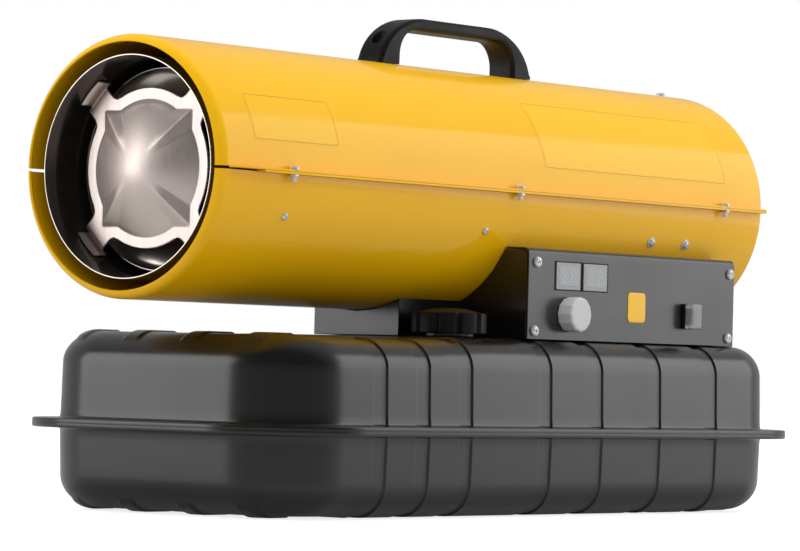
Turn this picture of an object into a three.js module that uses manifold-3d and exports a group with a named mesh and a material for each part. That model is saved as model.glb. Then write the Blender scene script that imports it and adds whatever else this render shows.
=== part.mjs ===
// Portable forced air heater: a sheet steel tube with burner, fan and air pump,
// on a pressed steel fuel tank. Millimetres, +Z up, air blown out towards -Y, controls on +X.
import * as THREE from 'three';
import { mergeVertices } from 'three/addons/utils/BufferGeometryUtils.js';
import Module from 'manifold-3d';

const wasm = await Module();
wasm.setup();

// ---------------------------------------------------------------- driving sizes

const GAP = 0.3; // clearance between seated pieces
const TUBE_FACETS = 36; // flats round the body tube
const CHAMBER_FACETS = 24;
const SHEET = 1.5; // gauge of the sheet steel

// fuel tank: two pressed halves with a flange all round
const TANK_LENGTH = 702;
const TANK_WIDTH = 279;
const TANK_CORNER = 67;
const TANK_EDGE = 28; // radius round the top and the bottom
const TANK_TOP = 145.4;
const TANK_WALL = 2;
const TANK_DRAFT = 1.2; // each wall leans out this much down to the flange
const FLANGE_Z = 70;
const FLANGE_WIDTH = 24;
const FLANGE_HALF = 3.85; // height of one half's flange
const BAND_RISE = 2.6; // the heater also stands on the bands below
const BAND_WIDTH = 19;
const BAND_STARTS = [-248, -193, -137, -28, 45, 131, 217]; // front edges, from the tank's middle
const BEAD_RISE = 2.4;
const BEAD_WIDTH = 36;
const BEAD_PITCH = 62;
const BEAD_LENGTH = 62;

// body tube, in two half shells bolted at seam flanges
const BODY_RADIUS = 105;
const BODY_LENGTH = 746;
const OVERHANG = 24; // body rim ahead of the tank's flange
const PEDESTAL_HEIGHT = 21.2; // from the tank's bands to the tube's lowest line
const LIP_RADIUS = 10;
const LIP_ANGLE = 68;
const SEAM_DROP = 1.75; // seam's middle below the tube's axis
const SEAM_LEAF = 2.3; // each half's hemmed flange
const SEAM_REACH = 7.5;
const SLOT_LENGTH = 45; // open seam at the air outlet
const SEAM_BOLT_FRONT = 82.6; // first seam bolt, from the front rim
const SEAM_BOLT_REAR = 60; // last one, from the rear rim
const BOLT_RADIUS = 2;

// combustion chamber and burner, distances from the front rim
const CHAMBER_RADIUS = 89;
const CHAMBER_FRONT = 7;
const CHAMBER_LENGTH = 340;
const CHAMBER_WALL = 1.2;
const INNER_RING_RADIUS = 81.6;
const INNER_RING_DEPTH = 48;
const INNER_RING_LENGTH = 60;
const INNER_RING_THROAT = 50;
const INNER_RING_DISH = 14; // the throat's depth behind the ring's edge
const DIFFUSER_RADIUS = 64;
const DIFFUSER_DEPTH = 32.5;
const DIFFUSER_SHEET = 1.2;
const DIFFUSER_ARM = 26; // width of each of its four arms
const ARM_DROP = 9.2; // web's slope back from the disc
const ARM_LIP = 20; // lip's reach forward of the disc
const DOME_RISE = 13;
const DOME_RADIUS = 55;
const PYRAMID_RISE = 17;
const PYRAMID_HALF = 46.3;
const PYRAMID_TOP = 8.4; // the dome takes over from here
const BRACKET_ANGLE = 20.5; // below the horizontal
const BRACKET_WIDTH = 16;
const BRACKET_TAB = 14;
const BRACKET_INSET = 30; // rear pair, ahead of the chamber's rear edge
const HEAD_THROAT = 36;
const ADAPTER_RADIUS = 12;
const ADAPTER_INSET = 12; // its front end, ahead of the chamber's rear edge
const ELECTRODE_RADIUS = 3.6;
const ELECTRODE_Z = 24; // above the burner's axis
const PHOTOCELL_X = 24; // beside it

// fan, motor and air pump
const FAN_PLACE = 460; // fan's middle plane, from the front rim
const FAN_RADIUS = 96;
const FAN_BLADES = 5;
const FAN_HUB = 17;
const FAN_HUB_LENGTH = 30;
const SHAFT_RADIUS = 4;
const MOTOR_RADIUS = 44;
const MOTOR_PLACE = 492;
const MOTOR_LENGTH = 100;
const PUMP_RADIUS = 40;
const PUMP_LENGTH = 28;
const PUMP_BORE = 30;
const PUMP_OFFSET = 2.5; // bore off the shaft's axis
const PUMP_COVER_LENGTH = 26;
const ROTOR_RADIUS = 26.6;
const VANE_HALF = 1.5;
const GUARD_WIRE = 1.6;
const GUARD_RINGS = 3;
const GUARD_SPOKES = 4;

// carrying handle
const HANDLE_PLACE = 411.5; // its middle, from the front rim
const HANDLE_LENGTH = 207;
const HANDLE_HEIGHT = 42.5;
const HANDLE_WIDTH = 28;
const HANDLE_GRIP = 10.5;
const HANDLE_FOOT = 25;
const HANDLE_CORNER = 18; // opening's round corners
const HANDLE_SHOULDER = 56; // length of the curve from a foot to the grip
const HANDLE_SCREW_INSET = 10;
const HANDLE_WELL_RADIUS = 4.5;
const HANDLE_SHANK_RADIUS = 2.3;

// control box and panel
const BOX_PLACE = 381; // its front wall, from the front rim
const BOX_LENGTH = 308.5;
const PANEL_PROUD = 13.5; // its face beyond the tube's side
const PANEL_HEIGHT = 77.4;
const PANEL_BEND = 5;
const BOX_FAR_SIDE = 75;
const DISPLAY_SIZE = [38, 24.2];
const DISPLAY_GAP = 1;
const DISPLAY_PLACE = [37, 54.6]; // front corner from the box's front, middle above its base
const KNOB_RADIUS = 15;
const KNOB_HEIGHT = 13;
const KNOB_LOBES = 12;
const KNOB_SHAFT_RADIUS = 3;
const BUSHING_RADIUS = 4.7; // potentiometer's neck through the panel
const KNOB_PLACE = [57, 22];
const SWITCH_SIZE = [16.5, 22];
const SWITCH_PLACE = [235.5, 25];
const BOOT_HEIGHT = 8.5;
const ROCKER_SWING = 12; // tilt each way
const BOARD_PLACE = [22, 37]; // front lower corner, from the box's front and above its base
const BOARD_SIZE = [96, 33];
const TRANSFORMER_PLACE = [132, 46]; // from the box's front, and behind the panel
const TRANSFORMER_SIZE = [40, 58, 30];
const GLAND_INSET = 30.5; // behind the panel's face
const GLAND_RISE = 24;

// pedestal under the front of the tube
const PEDESTAL_PLACE = 298;
const PEDESTAL_WIDTH = 92;

// filler, cap and drain
const FILLER_X = 84;
const FILLER_PLACE = 318; // from the front rim
const CAP_RADIUS = 31.7;
const CAP_HEIGHT = 17.4;
const CAP_LIFT = 5.6; // cap's skirt above the tank
const CAP_DOME = 3.8;
const CAP_LOBES = 10;
const NECK_RADIUS = 21;
const NECK_WALL = 2;
const STRAINER_DEPTH = 60;
const DRAIN_X = 104;
const DRAIN_Y = 176;
const DRAIN_RADIUS = 6;
const SUCTION_X = 20;
const SUCTION_PLACE = 427;
const HOSE_RADIUS = 3.5;
const PIPE_RADIUS = 3;
const AIR_HOLE_PLACE = 38; // behind the control box's front wall
const FUEL_HOLE_PLACE = 16;

// ---------------------------------------------------------------- places worked out

const TANK_Y = OVERHANG / 2;
const BODY_FRONT = TANK_Y - TANK_LENGTH / 2 - FLANGE_WIDTH - OVERHANG;
const BODY_REAR = BODY_FRONT + BODY_LENGTH;
const SEAM_BOLTS = [SEAM_BOLT_FRONT, BODY_LENGTH * 0.508, BODY_LENGTH - SEAM_BOLT_REAR]; // from the front rim
const DECK_Z = TANK_TOP + BAND_RISE + GAP; // what stands on the tank's bands
const AXIS_Z = DECK_Z + PEDESTAL_HEIGHT + BODY_RADIUS;
const SEAM_HALF = SEAM_LEAF + GAP / 2;
const BORE = BODY_RADIUS - SHEET; // inside radius of the tube
const SEAT = BORE * Math.cos(Math.PI / TUBE_FACETS) - GAP; // what rests on its inner flats
const FAN_Y = BODY_FRONT + FAN_PLACE;
const MOTOR_Y = BODY_FRONT + MOTOR_PLACE;
const PUMP_Y = MOTOR_Y + MOTOR_LENGTH + GAP;
const PUMP_COVER_Y = PUMP_Y + PUMP_LENGTH + GAP;
const BOX_Y = BODY_FRONT + BOX_PLACE;
const BOX_REAR = BOX_Y + BOX_LENGTH;
const CHAMBER_Y = BODY_FRONT + CHAMBER_FRONT;
const CHAMBER_REAR = CHAMBER_Y + CHAMBER_LENGTH;
const FILLER_Y = BODY_FRONT + FILLER_PLACE;
const SUCTION_Y = BODY_FRONT + SUCTION_PLACE;
const PANEL_TOP = DECK_Z + PANEL_HEIGHT;
const PANEL_FACE = BODY_RADIUS + PANEL_PROUD;
const PANEL_BACK = PANEL_FACE - SHEET;
const BOLT_X = BODY_RADIUS + SEAM_REACH / 2 + 0.6;
const AIR_HOLE_Y = BOX_Y + AIR_HOLE_PLACE;
const FUEL_HOLE_Y = BOX_Y + FUEL_HOLE_PLACE;
const ADAPTER_Y = CHAMBER_REAR - ADAPTER_INSET;
const ADAPTER_REAR = AIR_HOLE_Y + HOSE_RADIUS + 4;
const GLAND_X = PANEL_FACE - GLAND_INSET;
const GLAND_Z = DECK_Z + GLAND_RISE;
const KNOB_Y = BOX_Y + KNOB_PLACE[0];
const KNOB_Z = DECK_Z + KNOB_PLACE[1];
const SWITCH_Y = BOX_Y + SWITCH_PLACE[0];
const SWITCH_Z = DECK_Z + SWITCH_PLACE[1];

// ---------------------------------------------------------------- materials

function material(color, roughness, metalness) {
  return new THREE.MeshStandardMaterial({ color, roughness, metalness });
}
const yellowPaint = material(0xf2b10a, 0.35, 0.1);
const blackPaint = material(0x4a4a4c, 0.45, 0.2);
const blackPlastic = material(0x1d1c1d, 0.55, 0);
const stainless = material(0xc9c2b6, 0.35, 0.9);
const darkSteel = material(0x2c2a2a, 0.5, 0.8);
const zinc = material(0xb9bcc0, 0.35, 0.9);
const aluminium = material(0xb4b6b8, 0.4, 0.9);
const brass = material(0xb8923f, 0.35, 0.9);
const rubber = material(0x161616, 0.8, 0);
const ceramic = material(0xe8e4da, 0.4, 0);
const greyPlastic = material(0xb9babc, 0.5, 0);
const displayLens = material(0xc4c7ca, 0.3, 0);
const clearRubber = material(0x8d8f92, 0.2, 0);
const boardGreen = material(0x1f5a37, 0.5, 0);

// ---------------------------------------------------------------- solids

const X = new THREE.Vector3(1, 0, 0);
const Y = new THREE.Vector3(0, 1, 0);
const Z = new THREE.Vector3(0, 0, 1);
const rad = THREE.MathUtils.degToRad;

/** Shared-vertex copy of a geometry without empty faces, its faces turned outwards. */
function weld(geometry) {
  const bare = new THREE.BufferGeometry();
  bare.setAttribute('position', geometry.attributes.position.clone());
  if (geometry.index) bare.setIndex(geometry.index.clone());
  const merged = mergeVertices(bare, 1e-4);
  const old = merged.index.array;
  const corner = [new THREE.Vector3(), new THREE.Vector3(), new THREE.Vector3()];
  const faces = [];
  let volume = 0;
  for (let i = 0; i < old.length; i += 3) {
    const [p, q, r] = [old[i], old[i + 1], old[i + 2]];
    if (p === q || q === r || r === p) continue;
    [p, q, r].forEach((v, k) => corner[k].fromBufferAttribute(merged.attributes.position, v));
    volume += corner[0].dot(corner[1].clone().cross(corner[2])) / 6;
    faces.push([p, q, r]);
  }
  if (volume < 0) faces.forEach((face) => face.reverse());
  merged.setIndex(faces.flat());
  return merged;
}

function toManifold(geometry) {
  const welded = weld(geometry);
  return new wasm.Manifold(new wasm.Mesh({
    numProp: 3,
    vertProperties: new Float32Array(welded.attributes.position.array),
    triVerts: new Uint32Array(welded.index.array),
  }));
}

function fromManifold(manifold) {
  const mesh = manifold.getMesh();
  const geometry = new THREE.BufferGeometry();
  geometry.setAttribute('position', new THREE.BufferAttribute(new Float32Array(mesh.vertProperties), 3));
  geometry.setIndex(new THREE.BufferAttribute(new Uint32Array(mesh.triVerts), 1));
  return geometry;
}

function join(...geometries) {
  return fromManifold(geometries.map(toManifold).reduce((sum, next) => sum.add(next)));
}

function cut(base, ...tools) {
  return fromManifold(tools.map(toManifold).reduce((rest, tool) => rest.subtract(tool), toManifold(base)));
}

function common(a, b) {
  return fromManifold(toManifold(a).intersect(toManifold(b)));
}

function box(x0, x1, y0, y1, z0, z1) {
  const geometry = new THREE.BoxGeometry(x1 - x0, y1 - y0, z1 - z0);
  return geometry.translate((x0 + x1) / 2, (y0 + y1) / 2, (z0 + z1) / 2);
}

/** Turned solid about the Y axis from [radius, y] points; a loop closes on itself. */
function turned(profile, segments) {
  return new THREE.LatheGeometry(profile.map(([r, y]) => new THREE.Vector2(r, y)), segments);
}

/** Turned solid standing on Z. */
function turnedZ(profile, segments) {
  return turned(profile, segments).rotateX(Math.PI / 2);
}

/** Turned solid lying along X. */
function turnedX(profile, segments) {
  return turned(profile, segments).rotateZ(-Math.PI / 2);
}

/** Profile of a plain rod or, with an inner radius, of a tube. */
function rod(radius, from, to, inner = 0) {
  const profile = [[inner, from], [radius, from], [radius, to], [inner, to]];
  if (inner > 0) profile.push([inner, from]);
  return profile;
}

function polygon(points) {
  return new THREE.Shape(points.map(([a, b]) => new THREE.Vector2(a, b)));
}

/** Rectangle with rounded corners, as a shape or a hole. */
function rounded(a0, a1, b0, b1, radius, Kind = THREE.Shape) {
  const shape = new Kind();
  shape.moveTo(a0 + radius, b0);
  shape.lineTo(a1 - radius, b0);
  shape.absarc(a1 - radius, b0 + radius, radius, -Math.PI / 2, 0, false);
  shape.lineTo(a1, b1 - radius);
  shape.absarc(a1 - radius, b1 - radius, radius, 0, Math.PI / 2, false);
  shape.lineTo(a0 + radius, b1);
  shape.absarc(a0 + radius, b1 - radius, radius, Math.PI / 2, Math.PI, false);
  shape.lineTo(a0, b0 + radius);
  shape.absarc(a0 + radius, b0 + radius, radius, Math.PI, 1.5 * Math.PI, false);
  return shape;
}

function extruded(shape, depth, options = {}) {
  return new THREE.ExtrudeGeometry(shape, { depth, bevelEnabled: false, curveSegments: 3, ...options });
}

/** Extrusion options for a chamfer drawn in from the outline at both ends. */
function chamfer(size) {
  return { bevelEnabled: true, bevelThickness: size, bevelSize: size, bevelOffset: -size, bevelSegments: 1 };
}

/** Cutter for what follows the body tube from outside, clear of it by the gap. */
function tubeCutter(y0, y1) {
  return turned(rod((BODY_RADIUS + GAP) / Math.cos(Math.PI / TUBE_FACETS), y0, y1), TUBE_FACETS);
}

/** Section drawn in X and Z, carried along Y. */
function alongY(shape, y0, y1, options) {
  return extruded(shape, y1 - y0, options).rotateX(Math.PI / 2).translate(0, y1, 0);
}

/** Section drawn in Y and Z, carried along X. */
function alongX(shape, x0, x1, options) {
  const turn = new THREE.Matrix4().makeBasis(Y, Z, X);
  return extruded(shape, x1 - x0, options).applyMatrix4(turn).translate(x0, 0, 0);
}

/** Section drawn in X and Y, carried up Z. */
function alongZ(shape, z0, z1, options) {
  return extruded(shape, z1 - z0, options).translate(0, 0, z0);
}

/** Round tube of the given radius along a smooth route. */
function piped(points, radius, sides, steps) {
  const route = new THREE.CatmullRomCurve3(points.map((p) => new THREE.Vector3(...p)), false, 'centripetal');
  const section = new THREE.Shape();
  section.absarc(0, 0, radius, 0, 2 * Math.PI);
  const options = { steps, bevelEnabled: false, curveSegments: sides / 2, extrudePath: route };
  return new THREE.ExtrudeGeometry(section, options);
}

/** Points of an arc, angles in degrees. */
function arc(cx, cy, radius, from, to, steps) {
  return Array.from({ length: steps + 1 }, (_, i) => {
    const angle = rad(from + ((to - from) * i) / steps);
    return [cx + radius * Math.cos(angle), cy + radius * Math.sin(angle)];
  });
}

/** Solid through a stack of closed outlines of equal count, with fan ends. */
function lofted(outlines) {
  const count = outlines[0].length;
  const middle = (ring) => [0, 1, 2].map((k) => ring.reduce((sum, p) => sum + p[k], 0) / count);
  const points = [...outlines.flat(), middle(outlines[0]), middle(outlines.at(-1))];
  const faces = [];
  const first = outlines.length * count;
  for (let i = 0; i < count; i += 1) {
    const next = (i + 1) % count;
    faces.push(first, next, i);
    for (let level = 0; level < outlines.length - 1; level += 1) {
      const [a, b] = [level * count + i, level * count + next];
      faces.push(a, b, b + count, a, b + count, a + count);
    }
    const top = (outlines.length - 1) * count;
    faces.push(first + 1, top + i, top + next);
  }
  const geometry = new THREE.BufferGeometry();
  geometry.setAttribute('position', new THREE.Float32BufferAttribute(points.flat(), 3));
  geometry.setIndex(faces);
  return geometry;
}

const heater = new THREE.Group();
heater.name = 'forced_air_heater';

/** Adds a named piece to the heater, or to one of its groups. */
function piece(name, geometry, finish, parent = heater) {
  const mesh = new THREE.Mesh(weld(geometry), finish);
  mesh.geometry.computeVertexNormals();
  mesh.name = name;
  parent.add(mesh);
  return mesh;
}

const tank = new THREE.Group(); // tank frame: middle of the tank, on the ground
tank.position.set(0, TANK_Y, 0);
const tube = new THREE.Group(); // tube frame: on the tube's axis
tube.position.set(0, 0, AXIS_Z);
heater.add(tank, tube);

// ---------------------------------------------------------------- fuel tank

/** Outline of the tank at one height, drawn in by an inset. */
function tankOutline(inset, z) {
  const [hx, hy] = [TANK_WIDTH / 2 - inset, TANK_LENGTH / 2 - inset];
  const radius = TANK_CORNER - inset;
  const corners = [[1, 1, 0], [-1, 1, 90], [-1, -1, 180], [1, -1, 270]];
  return corners.flatMap(([sx, sy, from]) => arc(sx * (hx - radius), sy * (hy - radius), radius, from, from + 90, 3)
    .map(([x, y]) => [x, y, z]));
}

/** Levels [inset, height] of a pressed half's skin above its flange, drawn in by a wall. */
function tankLevels(height, wall, base, steps) {
  const edge = TANK_EDGE - wall;
  return [
    [wall - TANK_DRAFT, base],
    ...arc(wall + edge, height - wall - edge, edge, 180, 90, steps),
  ];
}

/** Band pressed out round the tank, from flank to flank across its width. */
function tankBand(height, start) {
  const wide = TANK_WIDTH / 2 + BAND_RISE;
  const edge = TANK_EDGE + BAND_RISE;
  const right = arc(wide - edge, height + BAND_RISE - edge, edge, 0, 90, 3);
  const left = arc(edge - wide, height + BAND_RISE - edge, edge, 90, 180, 3);
  const base = FLANGE_HALF / 2;
  const outline = [[wide + TANK_DRAFT, base], ...right, ...left, [-wide - TANK_DRAFT, base]];
  const slope = BAND_RISE + 0.4;
  return alongY(polygon(outline), start + slope, start + BAND_WIDTH - slope, chamfer(slope));
}

/** Soft bead that rises out of the tank's end radius and runs back along it. */
function tankBead(height, x, end) {
  const reach = TANK_LENGTH / 2;
  const rise = arc(TANK_EDGE - reach, height + BEAD_RISE - TANK_EDGE, TANK_EDGE, 180, 90, 3);
  const foot = BEAD_LENGTH - reach + TANK_EDGE;
  const root = height - TANK_EDGE - 14;
  const outline = [[0.6 - reach, root], ...rise, [foot, height + BEAD_RISE],
    [foot + 12, height - 0.5], [foot + 12, root]];
  const slope = BEAD_RISE + 2;
  const half = BEAD_WIDTH / 2 - slope;
  const bead = alongX(polygon(outline), x - half, x + half, chamfer(slope));
  return end > 0 ? bead.rotateZ(Math.PI) : bead;
}

/** One pressed half, flange down, standing on the seam plane. */
function tankHalf(height) {
  const skin = [[-FLANGE_WIDTH, GAP / 2], [-FLANGE_WIDTH, FLANGE_HALF], [-TANK_DRAFT, FLANGE_HALF]]
    .concat(tankLevels(height, 0, FLANGE_HALF + 1, 3));
  const inside = [[TANK_WALL - TANK_DRAFT, -1]].concat(tankLevels(height, TANK_WALL, 1, 2));
  const outer = lofted(skin.map(([inset, z]) => tankOutline(inset, z)));
  const hollow = lofted(inside.map(([inset, z]) => tankOutline(inset, z)));
  const bands = BAND_STARTS.map((start) => tankBand(height, start));
  const beads = [-1, 1].flatMap((end) => [-1, 0, 1].map((i) => tankBead(height, i * BEAD_PITCH, end)));
  return cut(join(outer, ...bands, ...beads), hollow);
}

const hole = (x, y, radius, z0, z1, segments = 16) => turnedZ(rod(radius, z0, z1), segments).translate(x, y, 0);

function tankUpper() {
  const half = tankHalf(TANK_TOP - FLANGE_Z).translate(0, 0, FLANGE_Z);
  const filler = hole(FILLER_X, FILLER_Y - TANK_Y, NECK_RADIUS + GAP, TANK_TOP - 10, TANK_TOP + 10, 20);
  const suction = hole(SUCTION_X, SUCTION_Y - TANK_Y, PIPE_RADIUS + GAP, TANK_TOP - 10, TANK_TOP + 10, 12);
  return cut(half, filler, suction);
}

function tankLower() {
  const half = tankHalf(FLANGE_Z - BAND_RISE).rotateY(Math.PI).translate(0, 0, FLANGE_Z);
  const drain = hole(DRAIN_X, DRAIN_Y - TANK_Y, DRAIN_RADIUS + GAP, -10, 20);
  return cut(half, drain);
}

piece('tank_upper_shell', tankUpper(), blackPaint, tank);
piece('tank_lower_shell', tankLower(), blackPaint, tank);

// ---------------------------------------------------------------- filler, cap, drain and suction

const NECK_TOP = TANK_TOP + CAP_LIFT + CAP_HEIGHT - 3.7;
const GASKET_THICKNESS = 1.1;
const STRAINER_FLANGE = 0.6;

const filler = new THREE.Group(); // filler frame: on the neck's axis
filler.position.set(FILLER_X, FILLER_Y, 0);
heater.add(filler);

function fillerNeck() {
  const flangeZ = TANK_TOP + GAP;
  return turnedZ([
    [NECK_RADIUS - NECK_WALL, TANK_TOP - 22], [NECK_RADIUS, TANK_TOP - 22], [NECK_RADIUS, flangeZ],
    [NECK_RADIUS + 7, flangeZ], [NECK_RADIUS + 7, flangeZ + 2], [NECK_RADIUS, flangeZ + 3.2],
    [NECK_RADIUS, NECK_TOP], [NECK_RADIUS - NECK_WALL, NECK_TOP], [NECK_RADIUS - NECK_WALL, TANK_TOP - 22],
  ], 16);
}

function fillerStrainer() {
  const outer = NECK_RADIUS - NECK_WALL - GAP - 0.1;
  const wall = 0.8;
  const top = NECK_TOP + GAP + STRAINER_FLANGE;
  const bottom = NECK_TOP - STRAINER_DEPTH;
  return turnedZ([
    [0, bottom], [outer - 3, bottom], [outer, bottom + 3], [outer, NECK_TOP + GAP],
    [NECK_RADIUS - 0.4, NECK_TOP + GAP], [NECK_RADIUS - 0.4, top], [outer - wall, top],
    [outer - wall, bottom + 3], [outer - 3 - wall, bottom + wall], [0, bottom + wall],
  ], 16);
}

/** Scalloped grip with a domed top, hollow below for the neck. */
function fuelCap() {
  const skirt = TANK_TOP + CAP_LIFT;
  const top = skirt + CAP_HEIGHT;
  const count = CAP_LOBES * 4;
  const outline = Array.from({ length: count }, (_, i) => {
    const turn = (i / count) * 2 * Math.PI;
    const notch = Math.pow(Math.abs(Math.cos((turn * CAP_LOBES) / 2)), 10);
    const radius = CAP_RADIUS - 1 - 3 * notch;
    return [radius * Math.cos(turn), radius * Math.sin(turn)];
  });
  const bevel = { bevelEnabled: true, bevelThickness: 1, bevelSize: 1, bevelSegments: 1 };
  const grip = alongZ(polygon(outline), skirt + 1, top - 1, bevel);
  const dome = turnedZ([[0, top - 1], [CAP_RADIUS - 7, top - 1], [CAP_RADIUS - 7, top + 0.4],
    [CAP_RADIUS - 15, top + CAP_DOME * 0.8], [0, top + CAP_DOME]], 20);
  const roof = NECK_TOP + 3 * GAP + STRAINER_FLANGE + GASKET_THICKNESS;
  const socket = turnedZ(rod(NECK_RADIUS + 1.2, skirt - 1, roof), 20);
  return cut(join(grip, dome), socket);
}

function capGasket() {
  const base = NECK_TOP + 2 * GAP + STRAINER_FLANGE;
  return turnedZ(rod(NECK_RADIUS + 0.8, base, base + GASKET_THICKNESS, 12), 16);
}

piece('filler_neck', fillerNeck(), zinc, filler);
piece('filler_strainer', fillerStrainer(), zinc, filler);
piece('fuel_cap', fuelCap(), blackPlastic, filler);
piece('cap_gasket', capGasket(), rubber, filler);

/** Threaded plug with a low hexagonal head, screwed up into the tank's floor. */
function drainPlug() {
  const head = turnedZ(rod(DRAIN_RADIUS + 3, 0.5, BAND_RISE - GAP), 6);
  const stem = turnedZ(rod(DRAIN_RADIUS, 1, BAND_RISE + TANK_WALL + 4), 16);
  return join(head, stem).translate(DRAIN_X, DRAIN_Y, 0);
}
piece('drain_plug', drainPlug(), zinc);

const SUCTION_TOP = DECK_Z + SHEET + 8;
const SUCTION_FLOOR = BAND_RISE + TANK_WALL + 4;
const FILTER_LENGTH = 18;

function suctionPipe() {
  const foot = SUCTION_FLOOR + FILTER_LENGTH - 6;
  const pipe = turnedZ(rod(PIPE_RADIUS, foot, SUCTION_TOP, PIPE_RADIUS - 1), 12);
  const flange = turnedZ(rod(12, TANK_TOP + GAP, TANK_TOP + BAND_RISE - 0.4, PIPE_RADIUS - 0.5), 12);
  return join(pipe, flange).translate(SUCTION_X, SUCTION_Y, 0);
}

function suctionFilter() {
  const top = SUCTION_FLOOR + FILTER_LENGTH;
  return turnedZ([[0, SUCTION_FLOOR], [10, SUCTION_FLOOR], [11, SUCTION_FLOOR + 1], [11, top - 3], [7, top],
    [PIPE_RADIUS + GAP, top], [PIPE_RADIUS + GAP, top - 6 - GAP], [0, top - 6 - GAP]], 12)
    .translate(SUCTION_X, SUCTION_Y, 0);
}
piece('suction_pipe', suctionPipe(), zinc);
piece('suction_filter', suctionFilter(), brass);

// ---------------------------------------------------------------- body tube

/** Rolled sheet ring with both end lips curled inwards. */
function rolledTube() {
  const centre = BODY_RADIUS - LIP_RADIUS;
  const curl = LIP_RADIUS * Math.sin(rad(LIP_ANGLE));
  const [front, rear] = [BODY_FRONT + curl, BODY_REAR - curl];
  const outerRear = arc(centre, rear, LIP_RADIUS, 0, LIP_ANGLE, 2);
  const innerRear = arc(centre, rear, LIP_RADIUS - SHEET, LIP_ANGLE, 0, 2);
  const innerFront = arc(centre, front, LIP_RADIUS - SHEET, 0, -LIP_ANGLE, 2);
  const outerFront = arc(centre, front, LIP_RADIUS, -LIP_ANGLE, 0, 2);
  const profile = [...outerRear, ...innerRear, ...innerFront, ...outerFront];
  return turned([...profile, profile[0]], TUBE_FACETS);
}

/** Half of the tube above (+1) or below (-1) the seam, with its two outward flanges. */
function halfShell(side) {
  const edge = -SEAM_DROP + side * SEAM_HALF;
  const reach = 2 * BODY_RADIUS;
  const [low, high] = side > 0 ? [-reach, edge] : [edge, reach];
  const half = cut(rolledTube(), box(-reach, reach, BODY_FRONT - 1, BODY_REAR + 1, low, high));
  const [near, far] = [-SEAM_DROP + (side * GAP) / 2, edge + side * 0.5];
  const flanges = [-1, 1].map((hand) => {
    const [inner, outer] = [hand * (BORE + 0.2), hand * (BODY_RADIUS + SEAM_REACH)];
    return box(Math.min(inner, outer), Math.max(inner, outer), BODY_FRONT + SLOT_LENGTH,
      BODY_REAR - LIP_RADIUS, Math.min(near, far), Math.max(near, far));
  });
  const boltHoles = SEAM_BOLTS.flatMap((place) => [-1, 1].map((hand) => hole(hand * BOLT_X,
    BODY_FRONT + place, BOLT_RADIUS + GAP, -8, 6, 8)));
  return cut(join(half, ...flanges), ...boltHoles);
}

function lowerShell() {
  const holes = [
    hole(0, AIR_HOLE_Y, HOSE_RADIUS + 2, -BODY_RADIUS - 5, -BODY_RADIUS + 10, 8),
    hole(0, FUEL_HOLE_Y, PIPE_RADIUS + 1, -BODY_RADIUS - 5, -BODY_RADIUS + 10, 8),
    hole(0, PUMP_Y + PUMP_LENGTH / 2, HOSE_RADIUS + 2, -BODY_RADIUS - 5, -BODY_RADIUS + 10, 8),
  ];
  return cut(halfShell(-1), ...holes);
}

piece('upper_shell', halfShell(1), yellowPaint, tube);
piece('lower_shell', lowerShell(), yellowPaint, tube);

/** Pan-head bolt down through both seam flanges, with its nut below. */
function seamBolt() {
  const top = -SEAM_DROP + SEAM_HALF + 0.5 + GAP;
  const bottom = -SEAM_DROP - SEAM_HALF - 0.5 - GAP;
  const head = turnedZ([[0, top], [3.6, top], [3.6, top + 1.4], [2, top + 2.5], [0, top + 2.5]], 8);
  const shank = turnedZ(rod(BOLT_RADIUS, bottom - 6.5, top + 1), 6);
  const nut = turnedZ(rod(3.8, bottom - 3.2, bottom), 6);
  return join(head, shank, nut);
}
SEAM_BOLTS.forEach((place, i) => {
  for (const [hand, side] of [[-1, 'left'], [1, 'right']]) {
    const bolt = seamBolt().translate(hand * BOLT_X, BODY_FRONT + place, 0);
    piece(`seam_bolt_${side}_${i + 1}`, bolt, zinc, tube);
  }
});

// ---------------------------------------------------------------- combustion chamber and burner

function combustionChamber() {
  const bore = CHAMBER_RADIUS - CHAMBER_WALL;
  return turned(rod(CHAMBER_RADIUS, CHAMBER_Y, CHAMBER_REAR, bore), CHAMBER_FACETS);
}

/** Short inner drum whose front is dished back to a wide throat. */
function innerRing() {
  const front = BODY_FRONT + INNER_RING_DEPTH;
  const rear = front + INNER_RING_LENGTH;
  const wall = CHAMBER_WALL;
  const [dish, outer] = [front + INNER_RING_DISH, CHAMBER_RADIUS - CHAMBER_WALL - GAP];
  const inner = INNER_RING_RADIUS - wall;
  return turned([
    [INNER_RING_RADIUS, front], [INNER_RING_RADIUS, rear], [outer, rear], [outer, rear + wall],
    [inner, rear + wall], [inner, front + 4 + wall], [INNER_RING_THROAT, dish + wall],
    [INNER_RING_THROAT, dish], [inner, front + 4], [inner, front], [INNER_RING_RADIUS, front],
  ], CHAMBER_FACETS);
}

/** How far the diffuser stands proud: a round dome over a low pyramid with ridges to its corners. */
function cushionRise(x, z) {
  const dome = DOME_RISE * (1 - (x * x + z * z) / (DOME_RADIUS * DOME_RADIUS));
  const pyramid = PYRAMID_RISE * (1 - Math.max(Math.abs(x), Math.abs(z)) / PYRAMID_HALF);
  return Math.max(dome, Math.min(pyramid, PYRAMID_TOP), 0);
}

/** Pressed disc: a grid of rings and rays, with a front and a back skin. */
function diffuserDisc() {
  const rays = 20;
  const radii = [0.14, 0.4, 0.6, 0.8, 1].map((share) => share * DIFFUSER_RADIUS);
  const ringAt = (radius, back) => Array.from({ length: rays }, (_, i) => {
    const angle = (i / rays) * 2 * Math.PI;
    const [x, z] = [radius * Math.cos(angle), radius * Math.sin(angle)];
    return [x, back - cushionRise(x, z), z];
  });
  const front = radii.map((radius) => ringAt(radius, 0));
  const rear = [...radii].reverse().map((radius) => ringAt(radius, DIFFUSER_SHEET));
  return lofted([...front, ...rear]);
}

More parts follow.
